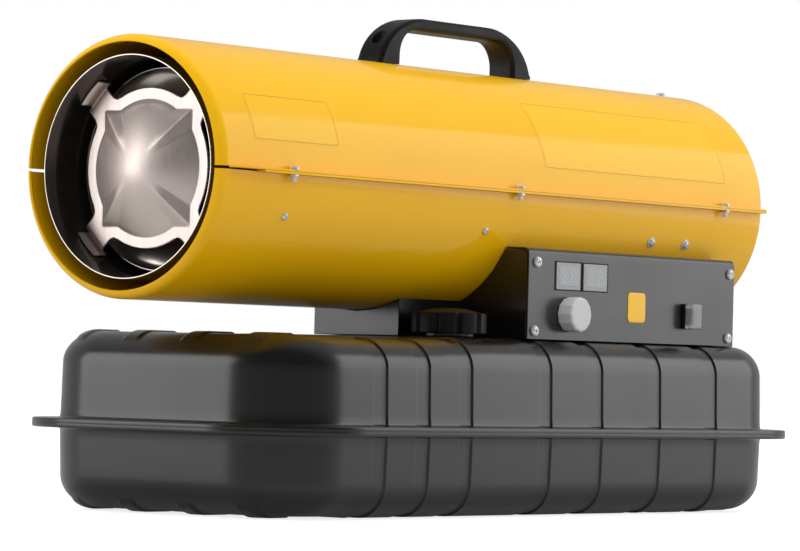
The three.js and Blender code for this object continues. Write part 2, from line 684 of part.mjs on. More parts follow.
/** Arm on one diagonal: flat tab, web sloping back, and a lip forward along the chamber's wall. */
function diffuserArm(angle) {
  const t = DIFFUSER_SHEET;
  const bore = (CHAMBER_RADIUS - CHAMBER_WALL) * Math.cos(Math.PI / CHAMBER_FACETS) - GAP;
  const end = Math.sqrt(bore * bore - (DIFFUSER_ARM * DIFFUSER_ARM) / 4);
  const [start, knee] = [DIFFUSER_RADIUS - 12, end - 9.5];
  const strip = polygon([[start, 0.1], [knee, 0.1], [end - t, ARM_DROP - t], [end - t, -ARM_LIP],
    [end, -ARM_LIP], [end, ARM_DROP], [end - t, ARM_DROP], [knee - 0.6, t - 0.1], [start, t - 0.1]]);
  return alongZ(strip, -DIFFUSER_ARM / 2, DIFFUSER_ARM / 2).rotateY(-angle);
}

function flameDiffuser() {
  const arms = [45, 135, 225, 315].map((angle) => diffuserArm(rad(angle)));
  return join(diffuserDisc(), ...arms).translate(0, BODY_FRONT + DIFFUSER_DEPTH, 0);
}

/** Bent strip between the chamber and the body tube. */
function chamberBracket(y, angle) {
  const [inner, outer] = [CHAMBER_RADIUS + GAP, SEAT];
  const strip = box(inner, outer, y, y + 2, -BRACKET_WIDTH / 2, BRACKET_WIDTH / 2);
  const innerTab = box(inner, inner + 2, y, y + BRACKET_TAB, -BRACKET_WIDTH / 2, BRACKET_WIDTH / 2);
  const outerTab = box(outer - 2, outer, y, y + BRACKET_TAB, -BRACKET_WIDTH / 2, BRACKET_WIDTH / 2);
  const solid = join(strip, innerTab, outerTab).rotateY(angle);
  const band = turned(rod(outer, y - 1, y + 20, inner), 96);
  return common(solid, band);
}

function chamberHead() {
  const y = CHAMBER_REAR - 8;
  const rim = CHAMBER_RADIUS - CHAMBER_WALL - GAP;
  return turned([
    [HEAD_THROAT, y + 8], [rim - 8, y + 4], [rim - 1.2, y], [rim - 1.2, y - 8], [rim, y - 8], [rim, y + 1],
    [rim - 7, y + 5.2], [HEAD_THROAT, y + 9.2], [HEAD_THROAT, y + 8],
  ], CHAMBER_FACETS);
}

/** Burner cup: a hub for the nozzle adapter and a dish full of swirl slots. */
function burnerHead() {
  const y = CHAMBER_REAR;
  const hub = ADAPTER_RADIUS + GAP;
  const rim = HEAD_THROAT * Math.cos(Math.PI / CHAMBER_FACETS) - GAP;
  const cup = turned([
    [hub, y - 14], [hub + 2, y - 14], [hub + 2, y - 4], [rim - 2, y - 8], [rim, y - 8], [rim, y + 2],
    [rim - 2, y + 2], [rim - 2, y - 2], [hub + 2, y + 1], [hub + 2, y + 12], [hub, y + 12], [hub, y - 14],
  ], 16);
  const slots = Array.from({ length: 6 }, (_, i) => box(18, 30, y - 12, y + 6, -1.6, 1.6)
    .rotateY((i * 2 * Math.PI) / 6));
  const port = turned(rod(ELECTRODE_RADIUS + GAP, y - 12, y + 6), 10).translate(0, 0, ELECTRODE_Z);
  return cut(cup, ...slots, port);
}

function burnerAdapter() {
  const y = ADAPTER_Y;
  const barrel = turned(rod(ADAPTER_RADIUS, y, ADAPTER_REAR), 16);
  const nose = turned(rod(9, y - 8, y + 1), 6);
  const socket = turned(rod(6 + GAP, y - 9, y - 1), 12);
  return cut(join(barrel, nose), socket);
}

function nozzle() {
  const y = ADAPTER_Y;
  return turned([[0, y - 18], [1.2, y - 18], [4, y - 15], [7, y - 13], [7, y - 8.5], [6, y - 8.2],
    [6, y - 1.6], [0, y - 1.6]], 12);
}

/** Ceramic insulator through the burner cup, with its spark wire ahead of it. */
function sparkElectrode() {
  const y = CHAMBER_REAR;
  const insulator = turned(rod(ELECTRODE_RADIUS, y - 26, y + 24), 10);
  const wire = turned(rod(1.1, y - 42, y - 25), 8);
  const terminal = turned(rod(2.4, y + 23, y + 32), 8);
  return join(insulator, wire, terminal).translate(0, 0, ELECTRODE_Z);
}

function photocell() {
  const y = CHAMBER_REAR;
  return turned([[0, y + 4], [4, y + 4], [4, y + 12], [6, y + 12], [6, y + 24], [0, y + 24]], 12)
    .translate(PHOTOCELL_X, 0, 0);
}

/** Angle bracket that holds the photocell behind the burner cup. */
function photocellBracket() {
  const y = CHAMBER_REAR + 2 + GAP;
  const foot = box(PHOTOCELL_X + 1, PHOTOCELL_X + 11, y, y + 1.2, -7, 7);
  const web = box(PHOTOCELL_X + 9.8, PHOTOCELL_X + 11, y, y + 17, -7, 7);
  const plate = box(PHOTOCELL_X - 8, PHOTOCELL_X + 11, y + 15.8, y + 17, -7, 7);
  const opening = turned(rod(6 + GAP, y + 14, y + 19), 12).translate(PHOTOCELL_X, 0, 0);
  const mouth = turned(rod(4 + GAP, y - 1, y + 2), 12).translate(PHOTOCELL_X, 0, 0);
  return cut(join(foot, web, plate), opening, mouth);
}

piece('combustion_chamber', combustionChamber(), darkSteel, tube);
piece('chamber_inner_ring', innerRing(), stainless, tube);
piece('flame_diffuser', flameDiffuser(), stainless, tube);
const bracketPlaces = [['front', BODY_FRONT + SEAM_BOLT_FRONT], ['rear', CHAMBER_REAR - BRACKET_INSET]];
for (const [end, y] of bracketPlaces) {
  piece(`chamber_bracket_${end}_right`, chamberBracket(y, rad(BRACKET_ANGLE)), darkSteel, tube);
  piece(`chamber_bracket_${end}_left`, chamberBracket(y, rad(180 - BRACKET_ANGLE)), darkSteel, tube);
}
piece('chamber_head', chamberHead(), darkSteel, tube);
piece('burner_head', burnerHead(), zinc, tube);
piece('burner_adapter', burnerAdapter(), aluminium, tube);
piece('nozzle', nozzle(), brass, tube);
piece('spark_electrode', sparkElectrode(), ceramic, tube);
piece('photocell', photocell(), blackPlastic, tube);
piece('photocell_bracket', photocellBracket(), zinc, tube);

// ---------------------------------------------------------------- fan, motor and air pump

/** One twisted blade, a thin cambered plate lofted from root to tip. */
function fanBlade(angle) {
  const stations = 4;
  const chordPoints = 3;
  const thickness = 1.6;
  const sections = Array.from({ length: stations }, (_, i) => {
    const share = i / (stations - 1);
    const radius = FAN_HUB - 4 + share * (FAN_RADIUS - FAN_HUB + 4);
    const pitch = rad(48 - 24 * share);
    const chord = 44 + 34 * Math.sin(share * 2.2);
    const edge = (side) => Array.from({ length: chordPoints + 1 }, (__, k) => {
      const along = (k / chordPoints - 0.5) * chord;
      const camber = 6 * (1 - Math.pow((2 * along) / chord, 2)) + (side * thickness) / 2;
      const sweep = along * Math.cos(pitch) - camber * Math.sin(pitch);
      const lift = along * Math.sin(pitch) + camber * Math.cos(pitch);
      const turn = sweep / radius;
      return [radius * Math.cos(turn), lift, radius * Math.sin(turn)];
    });
    return [...edge(1), ...edge(-1).reverse()];
  });
  return lofted(sections).rotateY(angle);
}

/** Axial fan: hub with a rounded nose and twisted blades. */
function axialFan() {
  const half = FAN_HUB_LENGTH / 2;
  const hub = turned([[0, -half], [FAN_HUB - 5, -half], [FAN_HUB, 5 - half], [FAN_HUB, half], [0, half]], 20);
  const blades = Array.from({ length: FAN_BLADES }, (_, i) => fanBlade((i * 2 * Math.PI) / FAN_BLADES));
  const bore = turned(rod(SHAFT_RADIUS + GAP, 6 - half, half + 1), 16);
  return cut(join(hub, ...blades), bore).translate(0, FAN_Y, 0);
}

function motorShaft() {
  return turned(rod(SHAFT_RADIUS, FAN_Y - FAN_HUB_LENGTH / 2 + 6 + GAP, PUMP_Y + PUMP_LENGTH - 4), 16);
}

/** Motor can with rounded end bells, cooling step and a bore for the shaft. */
function motorHousing() {
  const [front, rear] = [MOTOR_Y, MOTOR_Y + MOTOR_LENGTH];
  const bore = SHAFT_RADIUS + GAP;
  const r = MOTOR_RADIUS;
  const can = turned([
    [bore, front - 6], [10, front - 6], [10, front], [r - 12, front], [r - 3, front + 9],
    [r - 1.5, front + 22], [r, front + 22], [r, rear - 22], [r - 1.5, rear - 22], [r - 1.5, rear],
    [bore, rear], [bore, front - 6],
  ], 16);
  const vents = Array.from({ length: 4 }, (_, i) => box(r - 8, r + 2, rear - 16, rear - 6, -5, 5)
    .rotateY((i * 2 * Math.PI) / 4));
  return cut(can, ...vents);
}

/** Saddle that carries the motor off the lower shell, open under the motor. */
function motorBracket() {
  const foot = 46;
  const spread = Math.sqrt(SEAT ** 2 - foot ** 2);
  const outline = new THREE.Shape();
  const top = arc(0, 0, (MOTOR_RADIUS + GAP) / Math.cos(rad(7.5)), -25, -145, 8);
  const base = arc(0, 0, SEAT, -118, -62, 6);
  [...top, [-foot - 2, -MOTOR_RADIUS], ...base, [foot + 2, -MOTOR_RADIUS]]
    .forEach(([x, z], i) => (i ? outline.lineTo(x, z) : outline.moveTo(x, z)));
  outline.holes.push(rounded(-22, 22, 12 - spread, -MOTOR_RADIUS - 8, 6, THREE.Path));
  return alongY(outline, MOTOR_Y + 26, MOTOR_Y + MOTOR_LENGTH - 26);
}

/** Pump stator: a round block with an off-centre bore and a port below. */
function pumpBody() {
  const [front, rear] = [PUMP_Y, PUMP_Y + PUMP_LENGTH];
  const block = turned(rod(PUMP_RADIUS, front, rear), 16);
  const bore = turned(rod(PUMP_BORE, front + 3, rear + 1), 28).translate(0, 0, PUMP_OFFSET);
  const shaft = turned(rod(SHAFT_RADIUS + GAP, front - 1, rear), 16);
  const port = turnedZ(rod(HOSE_RADIUS - 1, -PUMP_RADIUS - 1, 5 - PUMP_BORE), 12)
    .translate(0, (front + rear) / 2, 0);
  return cut(block, bore, shaft, port);
}

/** Carbon rotor with a slot for each vane. */
function pumpRotor() {
  const [front, rear] = [PUMP_Y + 3 + GAP, PUMP_Y + PUMP_LENGTH - GAP];
  const core = turned(rod(ROTOR_RADIUS, front, rear), 24);
  const bore = turned(rod(SHAFT_RADIUS + GAP, front - 1, PUMP_Y + PUMP_LENGTH - 4 + GAP), 16);
  const slots = Array.from({ length: 4 }, (_, i) => box(12, PUMP_BORE, front - 1, rear + 1, -VANE_HALF - GAP,
    VANE_HALF + GAP).rotateY(rad(45 + 90 * i)));
  return cut(core, bore, ...slots);
}

function pumpVane(i) {
  const reach = PUMP_BORE - PUMP_OFFSET - GAP;
  return box(12 + GAP, reach, PUMP_Y + 3 + 2 * GAP, PUMP_Y + PUMP_LENGTH - GAP - 0.2, -VANE_HALF, VANE_HALF)
    .rotateY(rad(45 + 90 * i));
}

/** End cover with its ring of air slots and an adjusting screw. */
function pumpCover() {
  const [front, rear] = [PUMP_COVER_Y, PUMP_COVER_Y + PUMP_COVER_LENGTH];
  const r = PUMP_RADIUS;
  const cap = turned([[0, front], [r, front], [r, rear - 6], [r - 4, rear], [12, rear], [10, rear + 3],
    [5, rear + 3], [4.5, rear + 8], [0, rear + 8]], 16);
  const slots = Array.from({ length: 6 }, (_, i) => box(18, 31, rear - 5, rear + 2, -1.5, 1.5)
    .rotateY((i * 2 * Math.PI) / 6));
  return cut(cap, ...slots);
}

/** Hose from the pump, down through the shell, along the control box and up to the burner. */
function airHose() {
  const from = PUMP_Y + PUMP_LENGTH / 2;
  const low = -BODY_RADIUS - 11;
  const route = [
    [0, from, -PUMP_RADIUS - GAP], [0, from, -BODY_RADIUS + 12], [0, from, -BODY_RADIUS - 2],
    [0, from - 8, low], [0, from - 60, low], [0, AIR_HOLE_Y + 60, low], [0, AIR_HOLE_Y + 8, low],
    [0, AIR_HOLE_Y, -BODY_RADIUS - 2], [0, AIR_HOLE_Y, -BODY_RADIUS + 12], [0, AIR_HOLE_Y, -ADAPTER_RADIUS - GAP],
  ];
  return piped(route, HOSE_RADIUS, 6, 24);
}

/** Copper pipe from the suction pipe's head up to the burner. */
function fuelLine() {
  const low = SUCTION_TOP + GAP - AXIS_Z;
  const route = [
    [SUCTION_X, SUCTION_Y, low], [SUCTION_X, SUCTION_Y, low + 2], [SUCTION_X * 0.6, SUCTION_Y - 12, low + 4.6],
    [SUCTION_X * 0.3, FUEL_HOLE_Y + 8, low + 5.4],
    [0, FUEL_HOLE_Y, low + 12], [0, FUEL_HOLE_Y, -BODY_RADIUS + 12], [0, FUEL_HOLE_Y, -ADAPTER_RADIUS - GAP],
  ];
  return piped(route, PIPE_RADIUS - 0.6, 6, 20);
}

/** Wire guard over the air inlet: rings crossed by spokes. */
function rearGuard() {
  const y = BODY_REAR - LIP_RADIUS - GUARD_WIRE;
  const outer = SEAT - GUARD_WIRE * Math.SQRT1_2;
  const ring = (radius) => turned(arc(radius, y, GUARD_WIRE, 45, 405, 4), radius > 60 ? 20 : 12);
  const rings = Array.from({ length: GUARD_RINGS }, (_, i) => ring(outer * ((i + 1) / GUARD_RINGS)));
  const start = outer / GUARD_RINGS - 0.5;
  const spokes = Array.from({ length: GUARD_SPOKES }, (_, i) => turnedX(rod(GUARD_WIRE, start, outer), 4)
    .translate(0, y, 0).rotateY((i * 2 * Math.PI) / GUARD_SPOKES));
  return join(...rings, ...spokes);
}

piece('axial_fan', axialFan(), aluminium, tube);
piece('motor_shaft', motorShaft(), zinc, tube);
piece('motor_housing', motorHousing(), blackPaint, tube);
piece('motor_bracket', motorBracket(), zinc, tube);
piece('pump_body', pumpBody(), aluminium, tube);
piece('pump_rotor', pumpRotor(), darkSteel, tube);
for (let i = 0; i < 4; i += 1) piece(`pump_vane_${i + 1}`, pumpVane(i), rubber, tube);
piece('pump_end_cover', pumpCover(), aluminium, tube);
piece('air_hose', airHose(), rubber, tube);
piece('fuel_line', fuelLine(), brass, tube);
piece('rear_guard', rearGuard(), blackPaint, tube);

// ---------------------------------------------------------------- carrying handle

/** Moulded bow handle: an arch profile across the tube, its feet cut to the tube's curve. */
function handle() {
  const half = HANDLE_LENGTH / 2;
  const top = BODY_RADIUS + HANDLE_HEIGHT;
  const base = BODY_RADIUS - 6;
  const shoulder = (hand) => Array.from({ length: 6 }, (_, i) => {
    const angle = rad((hand > 0 ? i : 5 - i) * 18);
    const across = half - HANDLE_SHOULDER + HANDLE_SHOULDER * Math.cos(angle);
    return [hand * across, BODY_RADIUS + 4 + (HANDLE_HEIGHT - 4) * Math.sin(angle)];
  });
  const inner = half - HANDLE_FOOT;
  const [round, under] = [HANDLE_CORNER, top - HANDLE_GRIP - HANDLE_CORNER];
  const opening = [[-inner, base], ...arc(round - inner, under, round, 180, 90, 3),
    ...arc(inner - round, under, round, 90, 0, 3), [inner, base]];
  const profile = polygon([[half, base], ...shoulder(1), ...shoulder(-1), [-half, base], ...opening]);
  const edge = 2.5;
  const bow = alongX(profile, edge - HANDLE_WIDTH / 2, HANDLE_WIDTH / 2 - edge, chamfer(edge));
  const belly = tubeCutter(-half - 5, half + 5);
  const screwHoles = [-1, 1].flatMap((hand) => {
    const y = hand * (half - HANDLE_SCREW_INSET);
    return [hole(0, y, HANDLE_WELL_RADIUS, BODY_RADIUS + 9, top, 12),
      hole(0, y, HANDLE_SHANK_RADIUS, base - 5, top, 8)];
  });
  return cut(bow, belly, ...screwHoles).translate(0, BODY_FRONT + HANDLE_PLACE, 0);
}
piece('carrying_handle', handle(), blackPlastic, tube);

// ---------------------------------------------------------------- pedestal and control box

/** Folded pedestal, open to the rear and above, its walls cut to the tube's curve. */
function pedestal() {
  const half = PEDESTAL_WIDTH / 2;
  const [front, rear] = [BODY_FRONT + PEDESTAL_PLACE, BOX_Y - GAP];
  const top = AXIS_Z - BODY_RADIUS + 14;
  const solid = join(
    box(-half, half, front, front + SHEET, DECK_Z, top),
    box(-half, -half + SHEET, front, rear, DECK_Z, top),
    box(half - SHEET, half, front, rear, DECK_Z, top),
    box(-half, half, front, rear, DECK_Z, DECK_Z + SHEET),
  );
  return cut(solid, tubeCutter(front - 5, rear + 5).translate(0, 0, AXIS_Z));
}
piece('front_pedestal', pedestal(), blackPaint);

/** Control box: floor, far side and two end walls that follow the tube, with screw flanges. */
function controlBox() {
  const side = PANEL_BACK - GAP;
  const top = PANEL_TOP - SHEET - GAP;
  const shoulder = PANEL_TOP - PANEL_BEND - GAP;
  const outline = polygon([[-BOX_FAR_SIDE, DECK_Z], [side, DECK_Z], [side, shoulder],
    [side - PANEL_BEND, top], [-BOX_FAR_SIDE, top]]);
  const wall = (y) => alongY(outline, y, y + SHEET);
  const lip = (y) => box(side - SHEET, side, y, y + 16, DECK_Z, shoulder);
  const solid = join(
    wall(BOX_Y), wall(BOX_REAR - SHEET), lip(BOX_Y), lip(BOX_REAR - 16),
    box(-BOX_FAR_SIDE, side, BOX_Y, BOX_REAR, DECK_Z, DECK_Z + SHEET),
    box(-BOX_FAR_SIDE, SHEET - BOX_FAR_SIDE, BOX_Y, BOX_REAR, DECK_Z, top),
    box(-BOX_FAR_SIDE, 12 - BOX_FAR_SIDE, BOX_Y, BOX_REAR, AXIS_Z - 75, AXIS_Z - 73.5),
  );
  const tools = [
    tubeCutter(BOX_Y - 5, BOX_REAR + 5).translate(0, 0, AXIS_Z),
    hole(SUCTION_X, SUCTION_Y, 6, DECK_Z - 1, DECK_Z + 5),
    turned(rod(8 + GAP, BOX_REAR - 5, BOX_REAR + 5), 20).translate(GLAND_X, 0, GLAND_Z),
  ];
  return cut(solid, ...tools);
}

function cordGland() {
  const [inside, outside] = [BOX_REAR - SHEET - GAP, BOX_REAR + GAP];
  return turned([[4, inside - 12], [11, inside - 12], [11, inside], [8, inside], [8, outside], [11, outside],
    [11, outside + 6], [8.5, outside + 8], [7.5, outside + 16], [4, outside + 17], [4, inside - 12]], 12)
    .translate(GLAND_X, 0, GLAND_Z);
}

/** Panel: face and top in one sheet with a round bend, cut for displays, knob and switch. */
function controlPanel() {
  const bend = PANEL_BEND;
  const edge = Math.sqrt((BODY_RADIUS + GAP) ** 2 - (AXIS_Z - PANEL_TOP) ** 2) + 1;
  const outer = arc(PANEL_FACE - bend, PANEL_TOP - bend, bend, 0, 90, 4);
  const inner = arc(PANEL_FACE - bend, PANEL_TOP - bend, bend - SHEET, 90, 0, 4);
  const section = polygon([[PANEL_FACE, DECK_Z], ...outer, [edge, PANEL_TOP + 0.6], [edge, PANEL_TOP - SHEET + 0.6],
    ...inner, [PANEL_BACK, DECK_Z]]);
  const sheet = alongY(section, BOX_Y, BOX_REAR);
  const windows = [0, 1].map((i) => {
    const y = BOX_Y + DISPLAY_PLACE[0] + i * (DISPLAY_SIZE[0] + DISPLAY_GAP);
    const z = DECK_Z + DISPLAY_PLACE[1];
    return box(PANEL_BACK - 2, PANEL_FACE + 2, y, y + DISPLAY_SIZE[0], z - DISPLAY_SIZE[1] / 2,
      z + DISPLAY_SIZE[1] / 2);
  });
  const knobHole = turnedX(rod(BUSHING_RADIUS + GAP, PANEL_BACK - 2, PANEL_FACE + 2), 12)
    .translate(0, KNOB_Y, KNOB_Z);
  const opening = switchBox(PANEL_BACK - 2, PANEL_FACE + 2, 1 - GAP);
  return cut(sheet, ...windows, knobHole, opening);
}

/** Box on the switch's middle, drawn in from its bezel. */
function switchBox(x0, x1, inset) {
  const [half, tall] = [SWITCH_SIZE[0] / 2 - inset, SWITCH_SIZE[1] / 2 - inset];
  return box(x0, x1, SWITCH_Y - half, SWITCH_Y + half, SWITCH_Z - tall, SWITCH_Z + tall);
}

/** Display block behind its window: a lens just proud of the panel. */
function displayModule(i) {
  const y = BOX_Y + DISPLAY_PLACE[0] + i * (DISPLAY_SIZE[0] + DISPLAY_GAP);
  const z = DECK_Z + DISPLAY_PLACE[1];
  const half = DISPLAY_SIZE[1] / 2 - GAP;
  return box(PANEL_BACK - 9, PANEL_FACE + 0.4, y + GAP, y + DISPLAY_SIZE[0] - GAP, z - half, z + half);
}

function circuitBoard() {
  const x = PANEL_BACK - 9 - GAP;
  const [y, z] = [BOX_Y + BOARD_PLACE[0], DECK_Z + BOARD_PLACE[1]];
  return box(x - 1.6, x, y, y + BOARD_SIZE[0], z, z + BOARD_SIZE[1]);
}

function potentiometer() {
  const back = PANEL_BACK - GAP;
  const bore = KNOB_SHAFT_RADIUS + GAP;
  return turnedX([[bore, back - 9], [10, back - 9], [10, back], [BUSHING_RADIUS, back],
    [BUSHING_RADIUS, PANEL_FACE + 1], [bore, PANEL_FACE + 1], [bore, back - 9]], 12).translate(0, KNOB_Y, KNOB_Z);
}

function potentiometerShaft() {
  return turnedX(rod(KNOB_SHAFT_RADIUS, PANEL_BACK - 7, PANEL_FACE + KNOB_HEIGHT - 4), 12)
    .translate(0, KNOB_Y, KNOB_Z);
}

/** Knob with shallow lobes round it and a bore for the shaft. */
function thermostatKnob() {
  const count = KNOB_LOBES * 2;
  const outline = Array.from({ length: count }, (_, i) => {
    const turn = (i / count) * 2 * Math.PI;
    const radius = KNOB_RADIUS - 1.3 + 0.45 * Math.cos(turn * KNOB_LOBES);
    return [radius * Math.cos(turn), radius * Math.sin(turn)];
  });
  const bevel = { bevelEnabled: true, bevelThickness: 0.8, bevelSize: 0.8, bevelSegments: 1 };
  const base = PANEL_FACE + 0.8 + GAP;
  const body = alongX(polygon(outline), base, PANEL_FACE + KNOB_HEIGHT - 0.8, bevel);
  const bore = turnedX(rod(KNOB_SHAFT_RADIUS + GAP, PANEL_FACE - 1, PANEL_FACE + KNOB_HEIGHT - 4 + GAP), 12);
  const nut = turnedX(rod(6, PANEL_FACE - 1, PANEL_FACE + 1 + GAP), 12);
  return cut(body, bore, nut).translate(0, KNOB_Y, KNOB_Z);
}

/** Switch housing with its bezel on the panel and a pocket for the rocker. */
function switchBody() {
  const bezel = switchBox(PANEL_FACE + GAP, PANEL_FACE + 1.8, 0);
  const barrel = switchBox(PANEL_BACK - 18, PANEL_FACE + 1, 1);
  const pocket = switchBox(PANEL_FACE - 8, PANEL_FACE + 3, 2.7);
  const terminals = [-1, 1].map((i) => box(PANEL_BACK - 26, PANEL_BACK - 17, SWITCH_Y - 2.4, SWITCH_Y + 2.4,
    SWITCH_Z + i * 5 - 0.4, SWITCH_Z + i * 5 + 0.4));
  return cut(join(bezel, barrel, ...terminals), pocket);
}

/** Rocker: a barrel on its pivot with two pads that meet at a shallow angle, tilted to off. */
function switchRocker() {
  const half = SWITCH_SIZE[0] / 2 - 2.7 - GAP;
  const reach = SWITCH_SIZE[1] / 2 - 2.7 - 1;
  const barrel = arc(0, 0, 5.5, 200, 340, 6);
  const outline = [...barrel, [reach, -1], [reach, 3.2], [0, 1.4 + 1.6], [-reach, 3.2], [-reach, -1]];
  const profile = polygon(outline.map(([z, x]) => [z, x]));
  const solid = alongZ(profile, -half, half).rotateZ(rad(ROCKER_SWING));
  const turn = new THREE.Matrix4().makeBasis(Z, X, Y);
  return solid.applyMatrix4(turn).translate(PANEL_FACE + 0.6, SWITCH_Y, SWITCH_Z);
}

/** Clear boot stretched over the rocker, open at the back. */
function switchBoot() {
  const base = PANEL_FACE + 1.8 + GAP;
  const skin = 1;
  const outer = rounded(SWITCH_Y - SWITCH_SIZE[0] / 2 + 0.5, SWITCH_Y + SWITCH_SIZE[0] / 2 - 0.5,
    SWITCH_Z - SWITCH_SIZE[1] / 2 + 0.5, SWITCH_Z + SWITCH_SIZE[1] / 2 - 0.5, 3);
  const shell = alongX(outer, base + 1.2, base + BOOT_HEIGHT - 1.2, chamfer(1.2));
  return cut(shell, switchBox(base - 2, base + BOOT_HEIGHT - skin, 0.5 + skin + 0.6));
}

/** Ignition transformer standing on the box's floor. */
function ignitionTransformer() {
  const [x, y] = [PANEL_BACK - TRANSFORMER_PLACE[1], BOX_Y + TRANSFORMER_PLACE[0]];
  const [deep, long, high] = TRANSFORMER_SIZE;
  const floor = DECK_Z + SHEET + GAP;
  const block = box(x, x + deep, y, y + long, floor, floor + high);
  const tower = turnedZ(rod(6, floor + high - 1, floor + high + 8), 12)
    .translate(x + deep * 0.7, y + long / 4, 0);
  return join(block, tower);
}

piece('control_box', controlBox(), blackPaint);
piece('control_panel', controlPanel(), blackPaint);
piece('display_module_1', displayModule(0), displayLens);
piece('display_module_2', displayModule(1), displayLens);
piece('circuit_board', circuitBoard(), boardGreen);
piece('potentiometer', potentiometer(), zinc);
piece('potentiometer_shaft', potentiometerShaft(), aluminium);
piece('thermostat_knob', thermostatKnob(), greyPlastic);
piece('switch_body', switchBody(), blackPlastic);
piece('switch_rocker', switchRocker(), blackPlastic);
piece('switch_boot', switchBoot(), clearRubber);
piece('ignition_transformer', ignitionTransformer(), darkSteel);
piece('cord_gland', cordGland(), blackPlastic);

export default heater;
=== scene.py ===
import bmesh
import bpy
import numpy as np
from mathutils import Matrix


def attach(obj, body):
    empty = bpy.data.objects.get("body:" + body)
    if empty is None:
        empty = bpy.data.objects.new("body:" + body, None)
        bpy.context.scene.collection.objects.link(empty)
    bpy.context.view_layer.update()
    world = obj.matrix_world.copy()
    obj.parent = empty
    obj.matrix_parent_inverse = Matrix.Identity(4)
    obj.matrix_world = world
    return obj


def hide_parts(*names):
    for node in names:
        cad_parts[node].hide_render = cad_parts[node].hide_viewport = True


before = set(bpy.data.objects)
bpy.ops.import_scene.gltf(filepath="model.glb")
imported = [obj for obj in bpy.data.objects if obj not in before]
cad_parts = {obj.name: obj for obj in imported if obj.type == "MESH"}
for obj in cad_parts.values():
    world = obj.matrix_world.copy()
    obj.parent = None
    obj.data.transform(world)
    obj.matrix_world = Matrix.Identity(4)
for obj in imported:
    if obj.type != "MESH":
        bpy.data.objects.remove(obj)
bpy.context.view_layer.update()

# ---- fuel tank
# Two halves deep-drawn from steel sheet and seam-welded at a flange all round. Shallow grooves are
# pressed round them to stiffen the walls, and short beads run over the end radii. Baked black enamel.

HALF_WIDTH, HALF_LENGTH, CORNER = 139.5, 351.0, 67.0
TANK_Y, FLANGE_Z, TANK_TOP = 12.0, 70.0, 148.0
FLANGE_WIDE, FLANGE_HIGH, EDGE = 24.0, 3.85, 28.0
GROOVES, GROOVE_WIDE, GROOVE_DEEP = np.array([-248, -193, -137, -28, 45, 131, 217.0]), 19.0, 1.5
BEADS, BEAD_RISE, BEAD_WIDE, BEAD_LONG = (-99, -37, 25, 87), 1.6, 19.0, 62.0
FRONT_DROP, DRAIN, DISH, DISH_DEEP = 3.0, (104.0, 164.0), 14, 3.0


def srgb(code):
    """Linear colour of an sRGB hex code, each channel by the standard curve, with alpha 1."""
    c = np.array([int(code[i:i + 2], 16) for i in (1, 3, 5)]) / 255
    return (*np.where(c <= 0.04045, c / 12.92, ((c + 0.055) / 1.055) ** 2.4), 1.0)


def add(tree, kind, **settings):
    """Adds a shader node. Each setting is an input, named or as i and its number, or a property."""
    node = tree.nodes.new("ShaderNode" + kind)
    for key, value in settings.items():
        label = key.replace("_", " ")
        if key[0] == "i" and key[1:].isdigit():
            socket = node.inputs[int(key[1:])]
        elif label in node.inputs:
            socket = node.inputs[label]
        else:
            setattr(node, key, value)
            continue
        if isinstance(value, bpy.types.NodeSocket):
            tree.links.new(value, socket)
        else:
            socket.default_value = value
    return node


def shading(material):
    """A material's node tree and its Principled shader."""
    return material.node_tree, material.node_tree.nodes["Principled BSDF"]


def surface(name, colour, roughness, metallic=0.0, **more):
    """A named material with one Principled shader."""
    material = bpy.data.materials.new(name)
    material.use_nodes = True
    shader = shading(material)[1]
    shader.inputs["Base Color"].default_value = srgb(colour)
    shader.inputs["Roughness"].default_value = roughness
    shader.inputs["Metallic"].default_value = metallic
    for key, value in more.items():
        shader.inputs[key.replace("_", " ")].default_value = value
    return material


def grain(material, *layers):
    """Bump from noise layers of size and height in mm, and a stretch if any, stacked on Object coordinates."""
    tree, shader = shading(material)
    place = add(tree, "TexCoord").outputs["Object"]
    normal = None
    for size, height, *stretch in layers:
        scale = tuple(1000 / (size * s) for s in stretch or (1, 1, 1))
        spread = add(tree, "Mapping", Vector=place, Scale=scale)
        noise = add(tree, "TexNoise", Vector=spread.outputs[0], Scale=1.0, Detail=3.0)
        bump = add(tree, "Bump", Height=noise.outputs[0], Distance=height * 0.001, Strength=1.0)
        if normal:
            tree.links.new(normal, bump.inputs["Normal"])
        normal = bump.outputs[0]
    tree.links.new(normal, shader.inputs["Normal"])


def mottle(material, size, low, high):
    """Spreads roughness between two values over cloudy patches of a size in mm."""
    tree, shader = shading(material)
    place = add(tree, "TexCoord").outputs["Object"]
    noise = add(tree, "TexNoise", Vector=place, Scale=1000 / size, Detail=4.0)
    spread = add(tree, "MapRange", Value=noise.outputs[0], i1=0.3, i2=0.7, i3=low, i4=high)
    tree.links.new(spread.outputs[0], shader.inputs["Roughness"])


def tint(material, size, first, second, stretch=(1, 1, 1)):
    """Base colour drifting between two hex colours over patches of a size in mm."""
    tree, shader = shading(material)
    place = add(tree, "TexCoord").outputs["Object"]
    spread = add(tree, "Mapping", Vector=place, Scale=tuple(1 / s for s in stretch))
    noise = add(tree, "TexNoise", Vector=spread.outputs[0], Scale=1000 / size, Detail=4.0)
    share = add(tree, "MapRange", Value=noise.outputs[0], i1=0.35, i2=0.65)
    mix = add(tree, "Mix", data_type="RGBA", i0=share.outputs[0], i6=srgb(first), i7=srgb(second))
    tree.links.new(mix.outputs[2], shader.inputs["Base Color"])


def step(x):
    """Smooth step: 0 below 0, 1 above 1, and x squared times (3 - 2x) between."""
    x = np.clip(x, 0, 1)
    return x * x * (3 - 2 * x)


